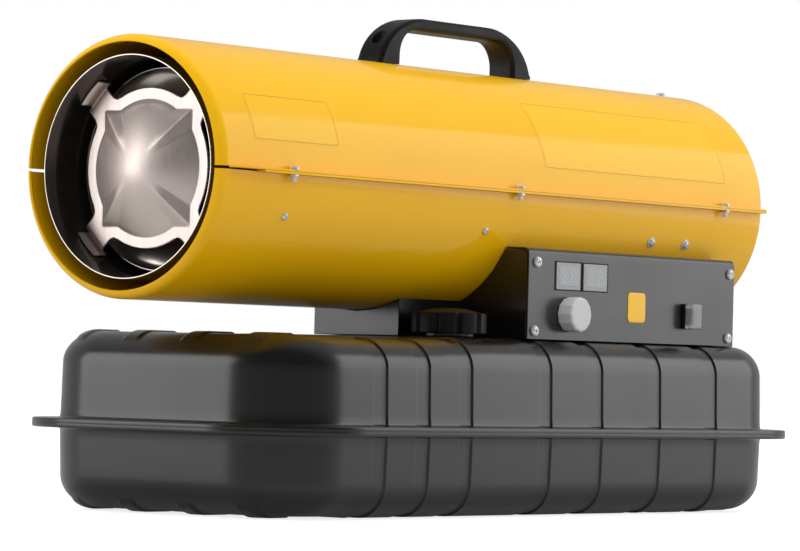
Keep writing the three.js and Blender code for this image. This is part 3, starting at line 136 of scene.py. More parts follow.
def patch(points, around=False):
    """Grid of points (rows, columns, 3) with a quad between each four neighbours."""
    rows, columns = points.shape[:2]
    i, j = np.meshgrid(np.arange(rows - 1), np.arange(columns if around else columns - 1), indexing="ij")
    k = (j + 1) % columns
    quads = np.stack([i * columns + j, i * columns + k, (i + 1) * columns + k, (i + 1) * columns + j], -1)
    return points.reshape(-1, 3), quads.reshape(-1, 4)


def arc(centre, radius, start, end, count):
    """Points of a circle's arc, angles in degrees."""
    turn = np.radians(np.linspace(start, end, count))
    return np.stack([centre[0] + radius * np.cos(turn), centre[1] + radius * np.sin(turn)], -1)


def eased(corners, radius, count=4, closed=False):
    """Polyline with each corner replaced by a curve that leaves and meets its sides at a distance.

    The distance is the radius, or 0.45 of the shorter side. The curve is quadratic: (1-t)^2 times
    its start, 2t(1-t) times the corner and t^2 times its end.
    """
    p = np.array(corners, float)
    r = np.broadcast_to(np.array(radius, float), len(p))
    before, after = np.roll(p, 1, 0), np.roll(p, -1, 0)
    reach = lambda q: np.linalg.norm(q - p, axis=1)
    cut = np.minimum(r, 0.45 * np.minimum(reach(before), reach(after)))
    start = p + (before - p) * (cut / np.maximum(reach(before), 1e-9))[:, None]
    end = p + (after - p) * (cut / np.maximum(reach(after), 1e-9))[:, None]
    t = np.linspace(0, 1, count)[None, :, None]
    curve = (1 - t) ** 2 * start[:, None] + 2 * t * (1 - t) * p[:, None] + t ** 2 * end[:, None]
    if closed:
        ring = curve.reshape(-1, 2)
        return np.vstack([ring, ring[:1]])
    return np.vstack([p[:1], curve[1:-1].reshape(-1, 2), p[-1:]])


def linked(name, data):
    """A new object of the scene with its data."""
    thing = bpy.data.objects.new(name, data)
    bpy.context.scene.collection.objects.link(thing)
    return thing


def shaded(mesh, material, crease=32):
    """Smooth faces, sharp edges past the crease angle in degrees, and one material."""
    mesh.polygons.foreach_set("use_smooth", [True] * len(mesh.polygons))
    mesh.set_sharp_from_angle(angle=np.radians(crease))
    mesh.materials.append(material)


def make(name, parts, material, replaces=(), body="heater", crease=32, weld=0.004, outward=True):
    """Mesh from patches in millimetres: doubles merged, faces turned outwards, sharp past the crease angle."""
    points = np.concatenate([p for p, _ in parts]) * 0.001
    starts = np.cumsum([0] + [len(p) for p, _ in parts[:-1]])
    quads = np.concatenate([q + s for (_, q), s in zip(parts, starts)])
    mesh = bpy.data.meshes.new(name)
    mesh.from_pydata(points.tolist(), [], quads.tolist())
    work = bmesh.new()
    work.from_mesh(mesh)
    bmesh.ops.remove_doubles(work, verts=work.verts, dist=weld * 0.001)
    if outward:
        bmesh.ops.recalc_face_normals(work, faces=work.faces)
    work.to_mesh(mesh)
    work.free()
    shaded(mesh, material, crease)
    piece = linked(name, mesh)
    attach(piece, body)
    if replaces:
        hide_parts(*replaces)
    return piece


def tank_press(x, y, z, height):
    """How far the sheet is pressed out at a place: beads over the ends less the grooves and the drain's dish.

    A groove is a flat floor between two smooth steps along y. A bead is a smooth step of the distance
    from its line, which ends in a half circle. The dish is a smooth step of the distance from the drain.
    The top falls a little towards the front by a smooth step along y. Underneath, both ends are sunk
    by the beads' height, so that the beads stop at the floor.
    """
    from_start = y[..., None] - GROOVES
    groove = (step(from_start / 1.7) * step((GROOVE_WIDE - from_start) / 1.7)).max(-1) * GROOVE_DEEP
    inward = HALF_LENGTH - np.abs(y)
    away = [np.hypot(x - centre, np.maximum(inward - BEAD_LONG + BEAD_WIDE / 2, 0)) for centre in BEADS]
    bead = step((BEAD_WIDE / 2 - np.min(away, 0)) / 3) * BEAD_RISE * step((z - height + 9) / 3)
    if height == FLANGE_Z:
        groove = np.maximum(groove, DISH_DEEP * step((DISH - np.hypot(x - DRAIN[0], y - DRAIN[1])) / 3))
        bead = bead - BEAD_RISE * step((np.abs(y) - 240) / 40) * step((z - height + EDGE) / EDGE)
    else:
        bead = bead - FRONT_DROP * step((-y - 90) / 110) * step((z - height + EDGE) / EDGE)
    return (bead - groove) * step((z - FLANGE_HIGH - 0.2) / 1.5)


def tank_half(height):
    """Skin of one half over its seam plane: outline moved in by an inset, level by level, then pressed out.

    An outline point is its base on the inner rectangle plus (corner radius - inset) times its outward
    direction. The wall leans, turns through the edge radius and runs flat to the inner rectangle.
    """
    bx, by = HALF_WIDTH - CORNER, HALF_LENGTH - CORNER
    edges = np.concatenate([GROOVES, GROOVES + GROOVE_WIDE])[:, None] + np.linspace(-2, 2, 9)
    dish = DRAIN[1] + np.linspace(-15, 15, 23)
    side = np.unique(np.concatenate([np.linspace(-by, by, 73), edges.ravel(), dish]))
    end = np.linspace(-bx, bx, 110)
    corner = np.linspace(0, 90, 44)
    base, turn = [], []
    for x, y, angles in [(bx, side, [0]), (bx, by, corner), (end[::-1], by, [90]), (-bx, by, corner + 90),
                         (-bx, side[::-1], [180]), (-bx, -by, corner + 180), (end, -by, [270]),
                         (bx, -by, corner + 270)]:
        x, y, angles = np.broadcast_arrays(x, y, angles)
        base.append(np.stack([x, y], -1))
        turn.append(angles)
    base, turn = np.vstack(base), np.radians(np.concatenate(turn))
    out = np.stack([np.cos(turn), np.sin(turn)], -1)
    wall = eased([[9, 0.02], [-FLANGE_WIDE, 0.02], [-FLANGE_WIDE, FLANGE_HIGH], [-1.2, FLANGE_HIGH],
                  [0, height - EDGE]], [0, 0.2, 1.6, 3.0, 0], 6)
    rise = np.stack([np.linspace(-0.9, 0, 7), np.linspace(FLANGE_HIGH + 8, height - EDGE, 7)], -1)[:-1]
    bend = arc((EDGE, height - EDGE), EDGE, 180, 90, 18)
    flat = np.stack([np.linspace(EDGE, CORNER, 24)[1:], np.full(23, height)], -1)
    profile = np.vstack([wall[:-1], rise, bend, flat])
    along = np.gradient(profile, axis=0)
    along /= np.linalg.norm(along, axis=1)[:, None]
    normal = np.stack([-along[:, 1], along[:, 0]], -1)
    xy = base[None] + (CORNER - profile[:, :1, None]) * out[None]
    z = np.broadcast_to(profile[:, 1][:, None], xy.shape[:2])
    pressed = tank_press(xy[..., 0], xy[..., 1], z, height)[..., None]
    xy = xy - pressed * normal[:, :1, None] * out[None]
    skin = np.concatenate([xy, z[..., None] + pressed * normal[:, 1:, None]], -1)
    gx, gy = np.meshgrid(end, side)
    top = np.stack([gx, gy, height + tank_press(gx, gy, np.full_like(gx, height), height)], -1)
    return [patch(skin, around=True), patch(top)]


def moved(parts, shift, matrix=None):
    """The same patches, each point multiplied by a matrix and then shifted."""
    turn = np.eye(3) if matrix is None else np.array(matrix)
    return [(p @ turn.T + np.array(shift), q) for p, q in parts]


tank_enamel = surface("satin black stoving enamel", "#0B0B0C", 0.3, Coat_Weight=0.6, Coat_Roughness=0.22)
# Enamel over drawn steel: a faint orange peel, and slow waves in the sheet that bend reflections.
grain(tank_enamel, (1.4, 0.003), (70, 0.1, 1, 1.6, 1))
mottle(tank_enamel, 60, 0.27, 0.33)

make("tank_upper_half", moved(tank_half(TANK_TOP - FLANGE_Z), (0, TANK_Y, FLANGE_Z)), tank_enamel,
     ["tank_upper_shell"])
make("tank_lower_half", moved(tank_half(FLANGE_Z), (0, TANK_Y, FLANGE_Z), np.diag([1, 1, -1])),
     tank_enamel, ["tank_lower_shell"])

# ---- fuel cap
# Screw cap moulded in black polyamide, with wide grips parted by narrow grooves and a shallow dome.
# It screws onto the neck that stands on the tank.

FILLER = (84.0, -69.0)
CAP_BASE, CAP_HIGH, CAP_RADIUS, CAP_GRIPS = 151.0, 17.4, 31.7, 10

moulded_black = surface("moulded black polyamide", "#0E0D0E", 0.5, Specular_IOR_Level=0.28)
# Spark-eroded mould finish: a fine even grain that dulls the light.
grain(moulded_black, (0.9, 0.03))
mottle(moulded_black, 25, 0.40, 0.52)


def spun(r, h, turn):
    """Grid round the Z axis: radii and heights, which may vary with the angle."""
    a, b, h = np.broadcast_arrays(r * np.cos(turn), r * np.sin(turn), h)
    return np.stack([a, b, h], -1)


def turned(profile, count, axis="z", centre=(0, 0, 0)):
    """Surface of revolution: a profile of (radius, height) carried round an axis."""
    turn = np.linspace(0, 2 * np.pi, count, endpoint=False)
    r, h = np.array(profile, float).T
    a, b = r[:, None] * np.cos(turn), r[:, None] * np.sin(turn)
    h = np.broadcast_to(h[:, None], a.shape)
    order = {"z": (a, b, h), "y": (b, h, a), "x": (h, a, b)}[axis]
    return patch(np.stack(order, -1) + np.array(centre, float), around=True)


turn = np.linspace(0, 2 * np.pi, 480, endpoint=False)
groove = np.exp(-((((turn * CAP_GRIPS / (2 * np.pi) + 0.5) % 1) - 0.5) / 0.11) ** 2)
profile = eased([[22.2, 0], [CAP_RADIUS, 0], [CAP_RADIUS, CAP_HIGH], [26.5, CAP_HIGH], [24.5, CAP_HIGH + 0.7],
                 [14, CAP_HIGH + 3.4], [0, CAP_HIGH + 3.8]], [0, 1.2, 2.2, 1, 2, 6, 0], 7)
depth = 3.0 * groove[None] * step((profile[:, :1] - 26) / 4)
r = profile[:, :1] - depth
cap = spun(r, profile[:, 1:], turn)
well = [[0, 15.6], [22.2, 15.6], [22.2, 0]]
make("fuel_cap_moulding", moved([patch(cap, around=True), turned(well, 480)], (*FILLER, CAP_BASE)),
     moulded_black, ["fuel_cap"], "cap")

# ---- neck, strainer, drain and suction
# Small turned and pressed parts of the tank: bright zinc-plated steel, a brass filter, and a rubber
# gasket in the cap. They are the CAD's own solids with finished surfaces.

zinc = surface("bright zinc-plated steel", "#E4E6E8", 0.28, 0.6)
# Blue-bright zinc: pale and slightly cloudy, with a fine grain from the plating bath.
grain(zinc, (0.8, 0.01))
mottle(zinc, 6, 0.2, 0.42)

brass = surface("turned brass", "#C69B4A", 0.3, 1.0)
# Free-cutting brass, lightly tarnished in patches.
tint(brass, 9, "#C69B4A", "#A98136")
mottle(brass, 5, 0.25, 0.42)

nitrile = surface("nitrile rubber", "#161617", 0.72)
# Fuel-proof rubber: dull, with a very fine moulded grain.
grain(nitrile, (0.7, 0.02))


def finish_nodes(material, *names):
    """Gives CAD nodes a finished material on their own object's slots."""
    for name in names:
        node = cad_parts[name]
        if not node.material_slots:
            node.data.materials.append(material)
        for place in node.material_slots:
            place.link = "OBJECT"
            place.material = material


finish_nodes(tank_enamel, "filler_neck")
finish_nodes(zinc, "filler_strainer", "suction_pipe", "drain_plug")
finish_nodes(brass, "suction_filter")
finish_nodes(nitrile, "cap_gasket")

# ---- body tube
# Two half shells rolled from steel sheet, with curled lips at both ends and hemmed flanges that bolt
# together along the sides. The seam is left open as a slot at the air outlet. Yellow powder coat.

BODY, FRONT, REAR, AXIS_Z, SHEET = 105.0, -387.0, 365.0, 274.5, 1.5
LIP, REAR_LIP, LIP_TURN, SEAM_Z, SEAM_HALF, SEAM_REACH = 10.0, 3.0, 68.0, -1.75, 1.2, 7.5
FLANGE_START, FLANGE_SHORT, FLANGE_LEAF = 45.0, 11.0, 1.8

yellow_coat = surface("yellow powder coat on steel", "#FCC000", 0.4, Coat_Weight=0.6, Coat_Roughness=0.1,
                      Specular_IOR_Level=0.1)
# Glossy polyester powder: even warm yellow, a fine orange peel, and slow waves of rolled sheet.
grain(yellow_coat, (1.8, 0.004), (90, 0.08, 1, 2.5, 1))
tint(yellow_coat, 140, "#FCC000", "#FABC00")


def soft_ring(corner, flat):
    """Rounded rectangle as bases on the unit square's outline and outward directions at its corners.

    A point is base * (half side - radius) + radius * direction, so one ring serves any size.
    """
    bases, turns = [], []
    for k, (cx, cy) in enumerate([(1, 1), (-1, 1), (-1, -1), (1, -1)]):
        angles = np.radians(90 * k + np.linspace(0, 90, corner))
        bases.append(np.tile([cx, cy], (corner, 1)))
        turns.append(angles)
        nx, ny = [(-1, 1), (-1, -1), (1, -1), (1, 1)][k]
        t = np.linspace(0, 1, flat + 2)[1:-1, None]
        bases.append((1 - t) * np.array([cx, cy]) + t * np.array([nx, ny]))
        turns.append(np.full(flat, np.radians(90 * k + 90)))
    turns = np.concatenate(turns)
    return np.vstack(bases), np.stack([np.cos(turns), np.sin(turns)], -1)


def slab(low, high, axis, corner, ease):
    """Box with corners rounded in plan and rims eased by a quarter circle, closed at both ends."""
    low, high = np.array(low, float), np.array(high, float)
    k = "xyz".index(axis)
    i, j = [(1, 2), (2, 0), (0, 1)][k]
    base, out = soft_ring(5, 2)
    mid, half = (low + high) / 2, (high - low) / 2
    corner = min(corner, half[i] * 0.98, half[j] * 0.98)
    ease = min(ease, corner, half[k] * 0.9)
    swing = np.radians(np.linspace(0, 90, 5))
    inset = np.concatenate([[corner, corner], ease * (1 - np.sin(swing))])
    inset = np.concatenate([inset, inset[::-1]])
    scale = np.concatenate([[0], np.ones(len(inset) - 2), [0]])
    level = np.concatenate([[0, 0], ease * (1 - np.cos(swing))])
    level = np.concatenate([low[k] + level, (high[k] - level)[::-1]])
    p = np.zeros((len(inset), len(base), 3))
    for n, side in ((0, i), (1, j)):
        p[..., side] = mid[side] + scale[:, None] * base[None, :, n] * (half[side] - corner) \
            + (corner - inset[:, None]) * out[None, :, n]
    p[..., k] = level[:, None]
    return patch(p, around=True)


def tube_half(side):
    """Half of the tube: each point of the rolled profile runs from seam to seam round the axis.

    A profile point of radius r starts at the angle whose sine is the seam's height over r.
    """
    edge = SEAM_Z + side * SEAM_HALF
    curl = np.sin(np.radians(LIP_TURN))
    ends = []
    for inset in (0, SHEET):
        front = arc((BODY - LIP, FRONT + LIP * curl), LIP - inset, -LIP_TURN, 0, 14)
        rear = arc((BODY - REAR_LIP, REAR - REAR_LIP * curl), REAR_LIP - inset, 0, LIP_TURN, 8)
        middle = np.linspace(front[-1], rear[0], 14)[1:-1]
        ends.append(np.vstack([front, middle, rear]))
    outer, inner = ends
    loop = np.vstack([outer, inner[::-1]])
    share = np.linspace(0, 1, 181)[:, None]

    def placed(profile):
        r = profile[None, :, 0]
        start = np.arcsin(edge / r)
        if side > 0:
            turn = start + share * (np.pi - 2 * start)
        else:
            turn = np.pi - start + share * (np.pi + 2 * start)
        y = np.broadcast_to(profile[None, :, 1], turn.shape)
        return np.stack([r * np.cos(turn), y, r * np.sin(turn)], -1)

    skin, out, inn = placed(loop), placed(outer), placed(inner)
    rims = [patch(np.stack([out[k], inn[k]])) for k in (0, -1)]
    near, far = sorted([SEAM_Z + side * 0.05, SEAM_Z + side * FLANGE_LEAF])
    first = FLANGE_SHORT if side > 0 else FLANGE_START
    flanges = [slab((a, FRONT + start, near), (b, REAR - REAR_LIP, far), "y", 0.3, 0.3)
               for a, b, start in [(BODY - SHEET + 0.2, BODY + SEAM_REACH, first),
                                   (-BODY - SEAM_REACH, SHEET - 0.2 - BODY, FLANGE_START)]]
    return [patch(skin, around=True), *rims, *flanges]


def on_axis(parts):
    """Patches lifted from the origin to the tube's axis."""
    return moved(parts, (0, 0, AXIS_Z))


make("body_upper_shell", on_axis(tube_half(1)), yellow_coat,
     ["upper_shell"], crease=40)
make("body_lower_shell", on_axis(tube_half(-1)), yellow_coat,
     ["lower_shell"], crease=40)

# ---- screws and bolts on the body
# Zinc-plated cross-recessed pan heads: three through each seam, four low on each side with washers,
# and one on top at the rear. The seam bolts have hexagon nuts below the flange.

SEAM_BOLTS, SCREW_ROW, SCREW_DROP = (82.6, 379.0, 686.0), (-302, -41.8, 199.4, 252.0), 20.4


def pan_head(radius, high):
    """Pan head on the XY plane: height falls with the fourth power of the radius, less a cross-shaped recess."""
    rho = radius * np.concatenate([np.linspace(0, 0.62, 15), [0.74, 0.85, 0.93, 0.98, 1, 1, 0]])
    turn = np.linspace(0, 2 * np.pi, 64, endpoint=False)
    x, y = rho[:, None] * np.cos(turn), rho[:, None] * np.sin(turn)
    z = high * np.sqrt(np.clip(1 - 0.75 * (rho / radius) ** 4, 0, 1))[:, None] * np.ones_like(x)
    arm = lambda a, b: step((0.11 - np.abs(a) / radius) / 0.07) * step((0.55 - np.abs(b) / radius) / 0.12)
    z = z - 0.8 * high * np.maximum(arm(x, y), arm(y, x))
    z[-2:] = 0
    return patch(np.stack([x, y, z], -1), around=True)


def facing(axis, spin=0.0):
    """Rotation that takes +Z to an axis: its columns are two normals of the axis and the axis itself."""
    w = np.array(axis, float) / np.linalg.norm(axis)
    u = np.cross([0, 1, 0] if abs(w[1]) < 0.9 else [1, 0, 0], w)
    u /= np.linalg.norm(u)
    v = np.cross(w, u)
    c, s = np.cos(spin), np.sin(spin)
    return np.stack([c * u + s * v, c * v - s * u, w], -1)


def screw(origin, axis, radius, high, spin, washer=0.0):
    """Pan head with its washer, seated at a place and facing along an axis."""
    parts = [pan_head(radius, high)]
    if washer:
        ring = eased([[0, 0.9], [washer, 0.9], [washer, -0.3], [0, -0.3]], [0, 0.4, 0.1, 0])
        parts = [*moved(parts, (0, 0, 0.9)), turned(ring, 64)]
    return moved(parts, origin, facing(axis, spin))


def seam_bolt():
    """Bolt through the seam flanges: pan head above, shank, and a thin chamfered hexagon nut below."""
    top, bottom = SEAM_Z + FLANGE_LEAF, SEAM_Z - FLANGE_LEAF
    shank = turned(eased([[0, top], [2, top], [2, bottom - 6], [0, bottom - 6]], [0, 0.2, 0.6, 0]), 32)
    turn = np.linspace(0, 2 * np.pi, 72, endpoint=False)
    hexagon = 3.3 / np.cos((turn + np.pi / 6) % (np.pi / 3) - np.pi / 6)
    levels = np.array([[0, -1.8], [0.92, -1.8], [1, -1.5], [1, -0.3], [0.92, 0], [0, 0]])
    r = np.minimum(levels[:, :1] * hexagon, [[9], [3.35], [9], [9], [3.35], [9]])
    nut = spun(r, bottom + levels[:, 1:], turn)
    return [*moved([pan_head(3.9, 3.2)], (0, 0, top)), shank, patch(nut, around=True)]


for side, hand in (("left", -1), ("right", 1)):
    for n, place in enumerate(SEAM_BOLTS):
        at = (hand * (BODY + SEAM_REACH / 2 + 0.6), FRONT + place, AXIS_Z)
        make(f"seam_bolt_{side}_{n + 1}_screw", moved(seam_bolt(), at), zinc,
             [f"seam_bolt_{side}_{n + 1}"])
low = np.radians(SCREW_DROP)
for side, hand in (("left", -1), ("right", 1)):
    parts = []
    for n, y in enumerate(SCREW_ROW):
        axis = (hand * np.cos(low), 0, -np.sin(low))
        at = (BODY * axis[0], y, AXIS_Z + BODY * axis[2])
        big = n > 1
        parts += screw(at, axis, 3.3 if big else 3.0, 2.3 if big else 2.0, 0.5 + n, 5.0 if big else 0)
    make(f"shell_screws_{side}", parts, zinc)
make("shell_screw_top", screw((0, 349, AXIS_Z + BODY), (0, 0, 1), 4.4, 2.8, 0.7, 5.6), zinc)

# ---- blank films on the body
# Two adhesive polyester films on the side of the tube, left blank, each with a thin printed border.
# They follow the tube's curve and are a little duller than the powder coat.

film_yellow = surface("blank polyester film, yellow", "#FCC108", 0.4, Coat_Weight=0.6, Coat_Roughness=0.18,
                      Specular_IOR_Level=0.1)
# A matt laminate over yellow ink.
grain(film_yellow, (2.5, 0.006))
film_ink = surface("printed border ink", "#C08A10", 0.45)
mottle(film_ink, 8, 0.42, 0.58)


def on_tube(y0, y1, low, high, inset, lift):
    """Outlines of a rounded rectangle on the tube, each drawn in by an inset and lifted off the surface.

    Height along the curve over the radius is the angle round the axis.
    """
    base, out = soft_ring(8, 30)
    inset, lift = np.array(inset, float)[:, None], np.array(lift, float)[:, None]
    mid = [(y0 + y1) / 2, np.radians(low + high) / 2 * BODY]
    half = [(y1 - y0) / 2, np.radians(high - low) / 2 * BODY]
    corner = 5.0
    shrink = np.maximum(inset - corner, 0)
    y = mid[0] + base[:, 0] * (half[0] - corner - shrink) + np.maximum(corner - inset, 0) * out[:, 0]
    along = mid[1] + base[:, 1] * np.maximum(half[1] - corner - shrink, 0) \
        + np.maximum(corner - inset, 0) * out[:, 1]
    angle, r = along / BODY, BODY + lift
    return np.stack([r * np.cos(angle), y, AXIS_Z + r * np.sin(angle)], -1)


for n, (y0, y1, a0, a1) in enumerate([(-346, -240, 11.5, 34.5), (34, 309, 10.5, 47.5)]):
    tall = np.radians(a1 - a0) / 2 * BODY
    insets = [0, 0, *np.linspace(0.3, tall, 14)]
    make(f"blank_film_{n + 1}", [patch(on_tube(y0, y1, a0, a1, insets, [0.02] + [0.14] * 15), around=True)],
         film_yellow, outward=False)
    make(f"film_border_{n + 1}", [patch(on_tube(y0, y1, a0, a1, [1.6, 1.6, 2.15, 2.15], [0.1, 0.17, 0.17, 0.1]),
                                        around=True)], film_ink, outward=False)

# ---- combustion chamber and inner ring
# A plain steel drum held inside the tube on four brackets, and a short inner drum whose front is
# dished towards its throat. Dark from heat inside, bright at the cut edges.

CHAMBER, CHAMBER_WALL, CHAMBER_Y, CHAMBER_REAR = 89.0, 1.2, -380.0, -40.0
RING, RING_FRONT, THROAT = 81.6, -339.0, 50.0

blued_steel = surface("heat-blued steel", "#5E5956", 0.18, 0.9)
# Smooth steel sheet after firing: a dark glossy oxide, a little browner in patches.
tint(blued_steel, 35, "#5A5654", "#685F5A", (1, 2.4, 1))
mottle(blued_steel, 14, 0.13, 0.22)
bright_steel = surface("bright rolled stainless", "#CFC9C0", 0.2, 1.0)
# Cold-rolled sheet: smooth, with fine lines along the rolling direction.
grain(bright_steel, (0.9, 0.006, 1, 30, 1))
mottle(bright_steel, 20, 0.16, 0.28)

outer_wall = eased([[CHAMBER - CHAMBER_WALL, CHAMBER_Y], [CHAMBER, CHAMBER_Y], [CHAMBER, CHAMBER_REAR],
                    [CHAMBER - CHAMBER_WALL, CHAMBER_REAR]], 0.3, 3, closed=True)
make("combustion_drum", on_axis([turned(outer_wall, 160, "y")]), blued_steel,
     ["combustion_chamber"])
rim = eased([[CHAMBER - CHAMBER_WALL + 0.2, CHAMBER_Y - 0.3], [CHAMBER + 0.1, CHAMBER_Y - 0.3],
             [CHAMBER + 0.1, CHAMBER_Y + 0.5], [CHAMBER - CHAMBER_WALL + 0.2, CHAMBER_Y + 0.5]], 0.4, 4, closed=True)
make("combustion_drum_edge", on_axis([turned(rim, 160, "y")]), bright_steel)
inner = RING - CHAMBER_WALL
dish = [[RING, RING_FRONT], [RING, RING_FRONT + 60], [87.2, RING_FRONT + 60], [87.2, RING_FRONT + 61.2],
        [inner, RING_FRONT + 61.2], [inner, RING_FRONT + 5.4], [77, RING_FRONT + 7.2], [THROAT, RING_FRONT + 15.2],
        [THROAT, RING_FRONT + 14], [77, RING_FRONT + 6], [inner, RING_FRONT + 4], [inner, RING_FRONT]]
make("chamber_dished_ring", on_axis([turned(eased(dish, 1.6, 4, closed=True), 160, "y")]),
     bright_steel, ["chamber_inner_ring"])

# ---- flame diffuser
# One pressing of stainless sheet: a flat disc with a cushion raised in its middle, square with ridges
# to its corners and a round crown. Four arms on the diagonals bend back and lie along the drum.

DISC, DISC_Y, ARM, ARM_ROOT, ARM_KNEE, ARM_SEAT = 64.0, -354.5, 13.0, 19.0, 70.5, 86.9

brushed_steel = surface("brushed stainless steel", "#DDCFC9", 0.38, 1.0, Anisotropic=0.3)
# Sheet brushed up and down before pressing: fine upright lines, slightly warm.
tree, shader = shading(brushed_steel)
place = add(tree, "TexCoord").outputs["Object"]
lines = add(tree, "Mapping", Vector=place, Scale=(1500, 1500, 30))
scratch = add(tree, "TexNoise", Vector=lines.outputs[0], Scale=1.0, Detail=2.0)
fine = add(tree, "Bump", Height=scratch.outputs[0], Distance=0.000004, Strength=0.6)
tree.links.new(fine.outputs[0], shader.inputs["Normal"])
spread = add(tree, "MapRange", Value=scratch.outputs[0], i1=0.3, i2=0.7, i3=0.33, i4=0.42)
tree.links.new(spread.outputs[0], shader.inputs["Roughness"])


def cushion(x, z):
    """Height of the pressing: a blunt cone whose foot is a square joined with a circle, and round at its top.

    The foot's distance eases from the circle's radius near the middle to the joined outline further
    out. With q the distance from the middle over it, and b(q) the root of q^2 + 0.3, the height is
    15 (b(1) - b(q)) / (b(1) - b(0)).
    """
    r = np.hypot(x, z)
    square = 46.3 * r / np.maximum(np.maximum(np.abs(x), np.abs(z)), 1e-9)
    blunt = lambda q: np.sqrt(q * q + 0.3)
    share = r / (55 + (np.maximum(square, 55) - 55) * step((r - 14) / 22))
    return np.maximum(15 * (blunt(1.0) - blunt(share)) / (blunt(1.0) - blunt(0.0)), 0)


def diffuser():
    """Disc on rays that fall on the arms' roots, and the arms from the disc's edge to their lips."""
    t = np.linspace(-1, 1, 25)
    root = np.arcsin(ARM_ROOT * t / DISC)
    gap = np.linspace(root[-1], np.pi / 2 + root[0], 41)[1:-1]
    rays = np.concatenate([np.concatenate([root, gap]) + np.pi / 4 + k * np.pi / 2 for k in range(4)])
    rho = DISC * np.linspace(0, 1, 97)[:, None]
    x, z = rho * np.cos(rays), rho * np.sin(rays)
    parts = [patch(np.stack([x, -cushion(x, z), z], -1), around=True)]
    grow = np.linspace(0, 1, 9)[:, None]
    flare = ARM + (ARM_ROOT - ARM) * (1 - np.sqrt(1 - (1 - grow) ** 2))
    wall = np.sqrt(ARM_SEAT ** 2 - (ARM * t) ** 2)[None]
    start = np.sqrt(DISC ** 2 - (ARM_ROOT * t) ** 2)[None]
    knee = eased([[ARM_KNEE, 0], [78.5, 0], [84.6, 8.6], [ARM_SEAT, 8.9], [ARM_SEAT, -5]],
                 [0, 3, 1.5, 1.2, 0], 6)
    reach, drop = knee[1:, :1], knee[1:, 1:]
    across = np.vstack([flare * t, np.tile(ARM * t, (len(reach), 1))])
    bend = reach - (ARM_SEAT - wall) * step((reach - 74) / 12)
    arms = np.vstack([start * (1 - grow) + ARM_KNEE * grow, bend])
    depth = np.vstack([np.zeros((9, 1)), drop]) + 0 * arms
    for k in range(4):
        turn = np.pi / 4 + k * np.pi / 2
        c, s = np.cos(turn), np.sin(turn)
        x, z = arms * c - across * s, arms * s + across * c
        parts.append(patch(np.stack([x, depth - cushion(x, z) * (arms < 72), z], -1)))
    return parts


plate = make("flame_diffuser_pressing", moved(diffuser(), (0, DISC_Y, AXIS_Z)), brushed_steel,
             ["flame_diffuser"], crease=50, weld=0.03)
thick = plate.modifiers.new("sheet", "SOLIDIFY")
thick.thickness, thick.offset = 0.0012, -1

# ---- burner behind the diffuser
# Brackets, chamber head, burner cup, nozzle on its adapter, spark electrode and photocell: folded and
# turned parts deep in the tube. The round ones are turned finely; folded ones are the CAD's own.

ADAPTER_END, ELECTRODE_UP, CELL_ACROSS = 39.5, 24.0, 24.0

turned_aluminium = surface("turned aluminium", "#C2C4C6", 0.32, 1.0)
# Machined alloy: pale, with fine feed lines round the axis.
grain(turned_aluminium, (0.7, 0.006, 30, 1, 30))
mottle(turned_aluminium, 10, 0.26, 0.4)
porcelain = surface("glazed alumina", "#E9E5DA", 0.18, Coat_Weight=0.4)
# White insulator: glassy glaze, a little warmer where it has been hot.
tint(porcelain, 12, "#ECE8DE", "#DDD2BE")

# Profiles of radius and distance behind the chamber's rear, then the corner radius, material, slot and place.
round_parts = {
    "chamber_head": ([[36, 0], [79.5, -4], [86.2, -8], [86.2, -16], [87.4, -16], [87.4, -7], [80.4, -2.8],
                     [36, 1.2]], 1.0, blued_steel, "dark_steel", 0, 0),
    "burner_adapter": ([[0, -13], [6.3, -13], [6.3, -20], [9, -20], [9, -12], [12, -12],
                       [12, ADAPTER_END - CHAMBER_REAR], [0, ADAPTER_END - CHAMBER_REAR]],
                       0.6, turned_aluminium, "aluminium", 0, 0),
    "nozzle": ([[0, -30], [1.2, -30], [4, -27], [7, -25], [7, -20.5], [6, -20.2], [6, -13.6], [0, -13.6]],
               0.5, brass, "brass", 0, 0),
    "photocell": ([[0, 4], [4, 4], [4, 12], [6, 12], [6, 24], [0, 24]],
                  0.5, moulded_black, "black_plastic", CELL_ACROSS, 0),
    "spark_electrode": ([[0, -42], [1.1, -42], [1.1, -26], [2.6, -25.5], [3.6, -23], [3.6, 24], [2.4, 24.5],
                        [2.4, 32], [0, 32]], 0.5, porcelain, "ceramic", 0, ELECTRODE_UP),
}
for name, (profile, radius, material, slot, x, z) in round_parts.items():
    closed = profile[0][0] > 0
    profile = np.array(profile, float) + [0, CHAMBER_REAR]
    line = eased(profile, radius if closed else [0] + [radius] * (len(profile) - 2) + [0], 4, closed=closed)
    make(f"{name}_turning", [turned(line, 96, "y", (x, 0, AXIS_Z + z))], material, [name])
finish_nodes(zinc, "burner_head", "photocell_bracket")
finish_nodes(blued_steel, *(f"chamber_bracket_{end}_{side}" for end in ("front", "rear")
                            for side in ("left", "right")))

# ---- fan
# Axial fan pressed from aluminium sheet: five twisted blades on a turned hub, fixed to the motor's
# shaft. It draws air in through the rear guard and past the motor.

FAN_Y, FAN_RADIUS, HUB, BLADES, SHAFT = 73.0, 96.0, 17.0, 5, 4.0

pressed_aluminium = surface("pressed aluminium sheet", "#B9BBBD", 0.36, 1.0)
# Mill-finish sheet: long soft rolling lines and cloudy patches.
grain(pressed_aluminium, (1.2, 0.01, 1, 1, 18))
mottle(pressed_aluminium, 30, 0.3, 0.45)


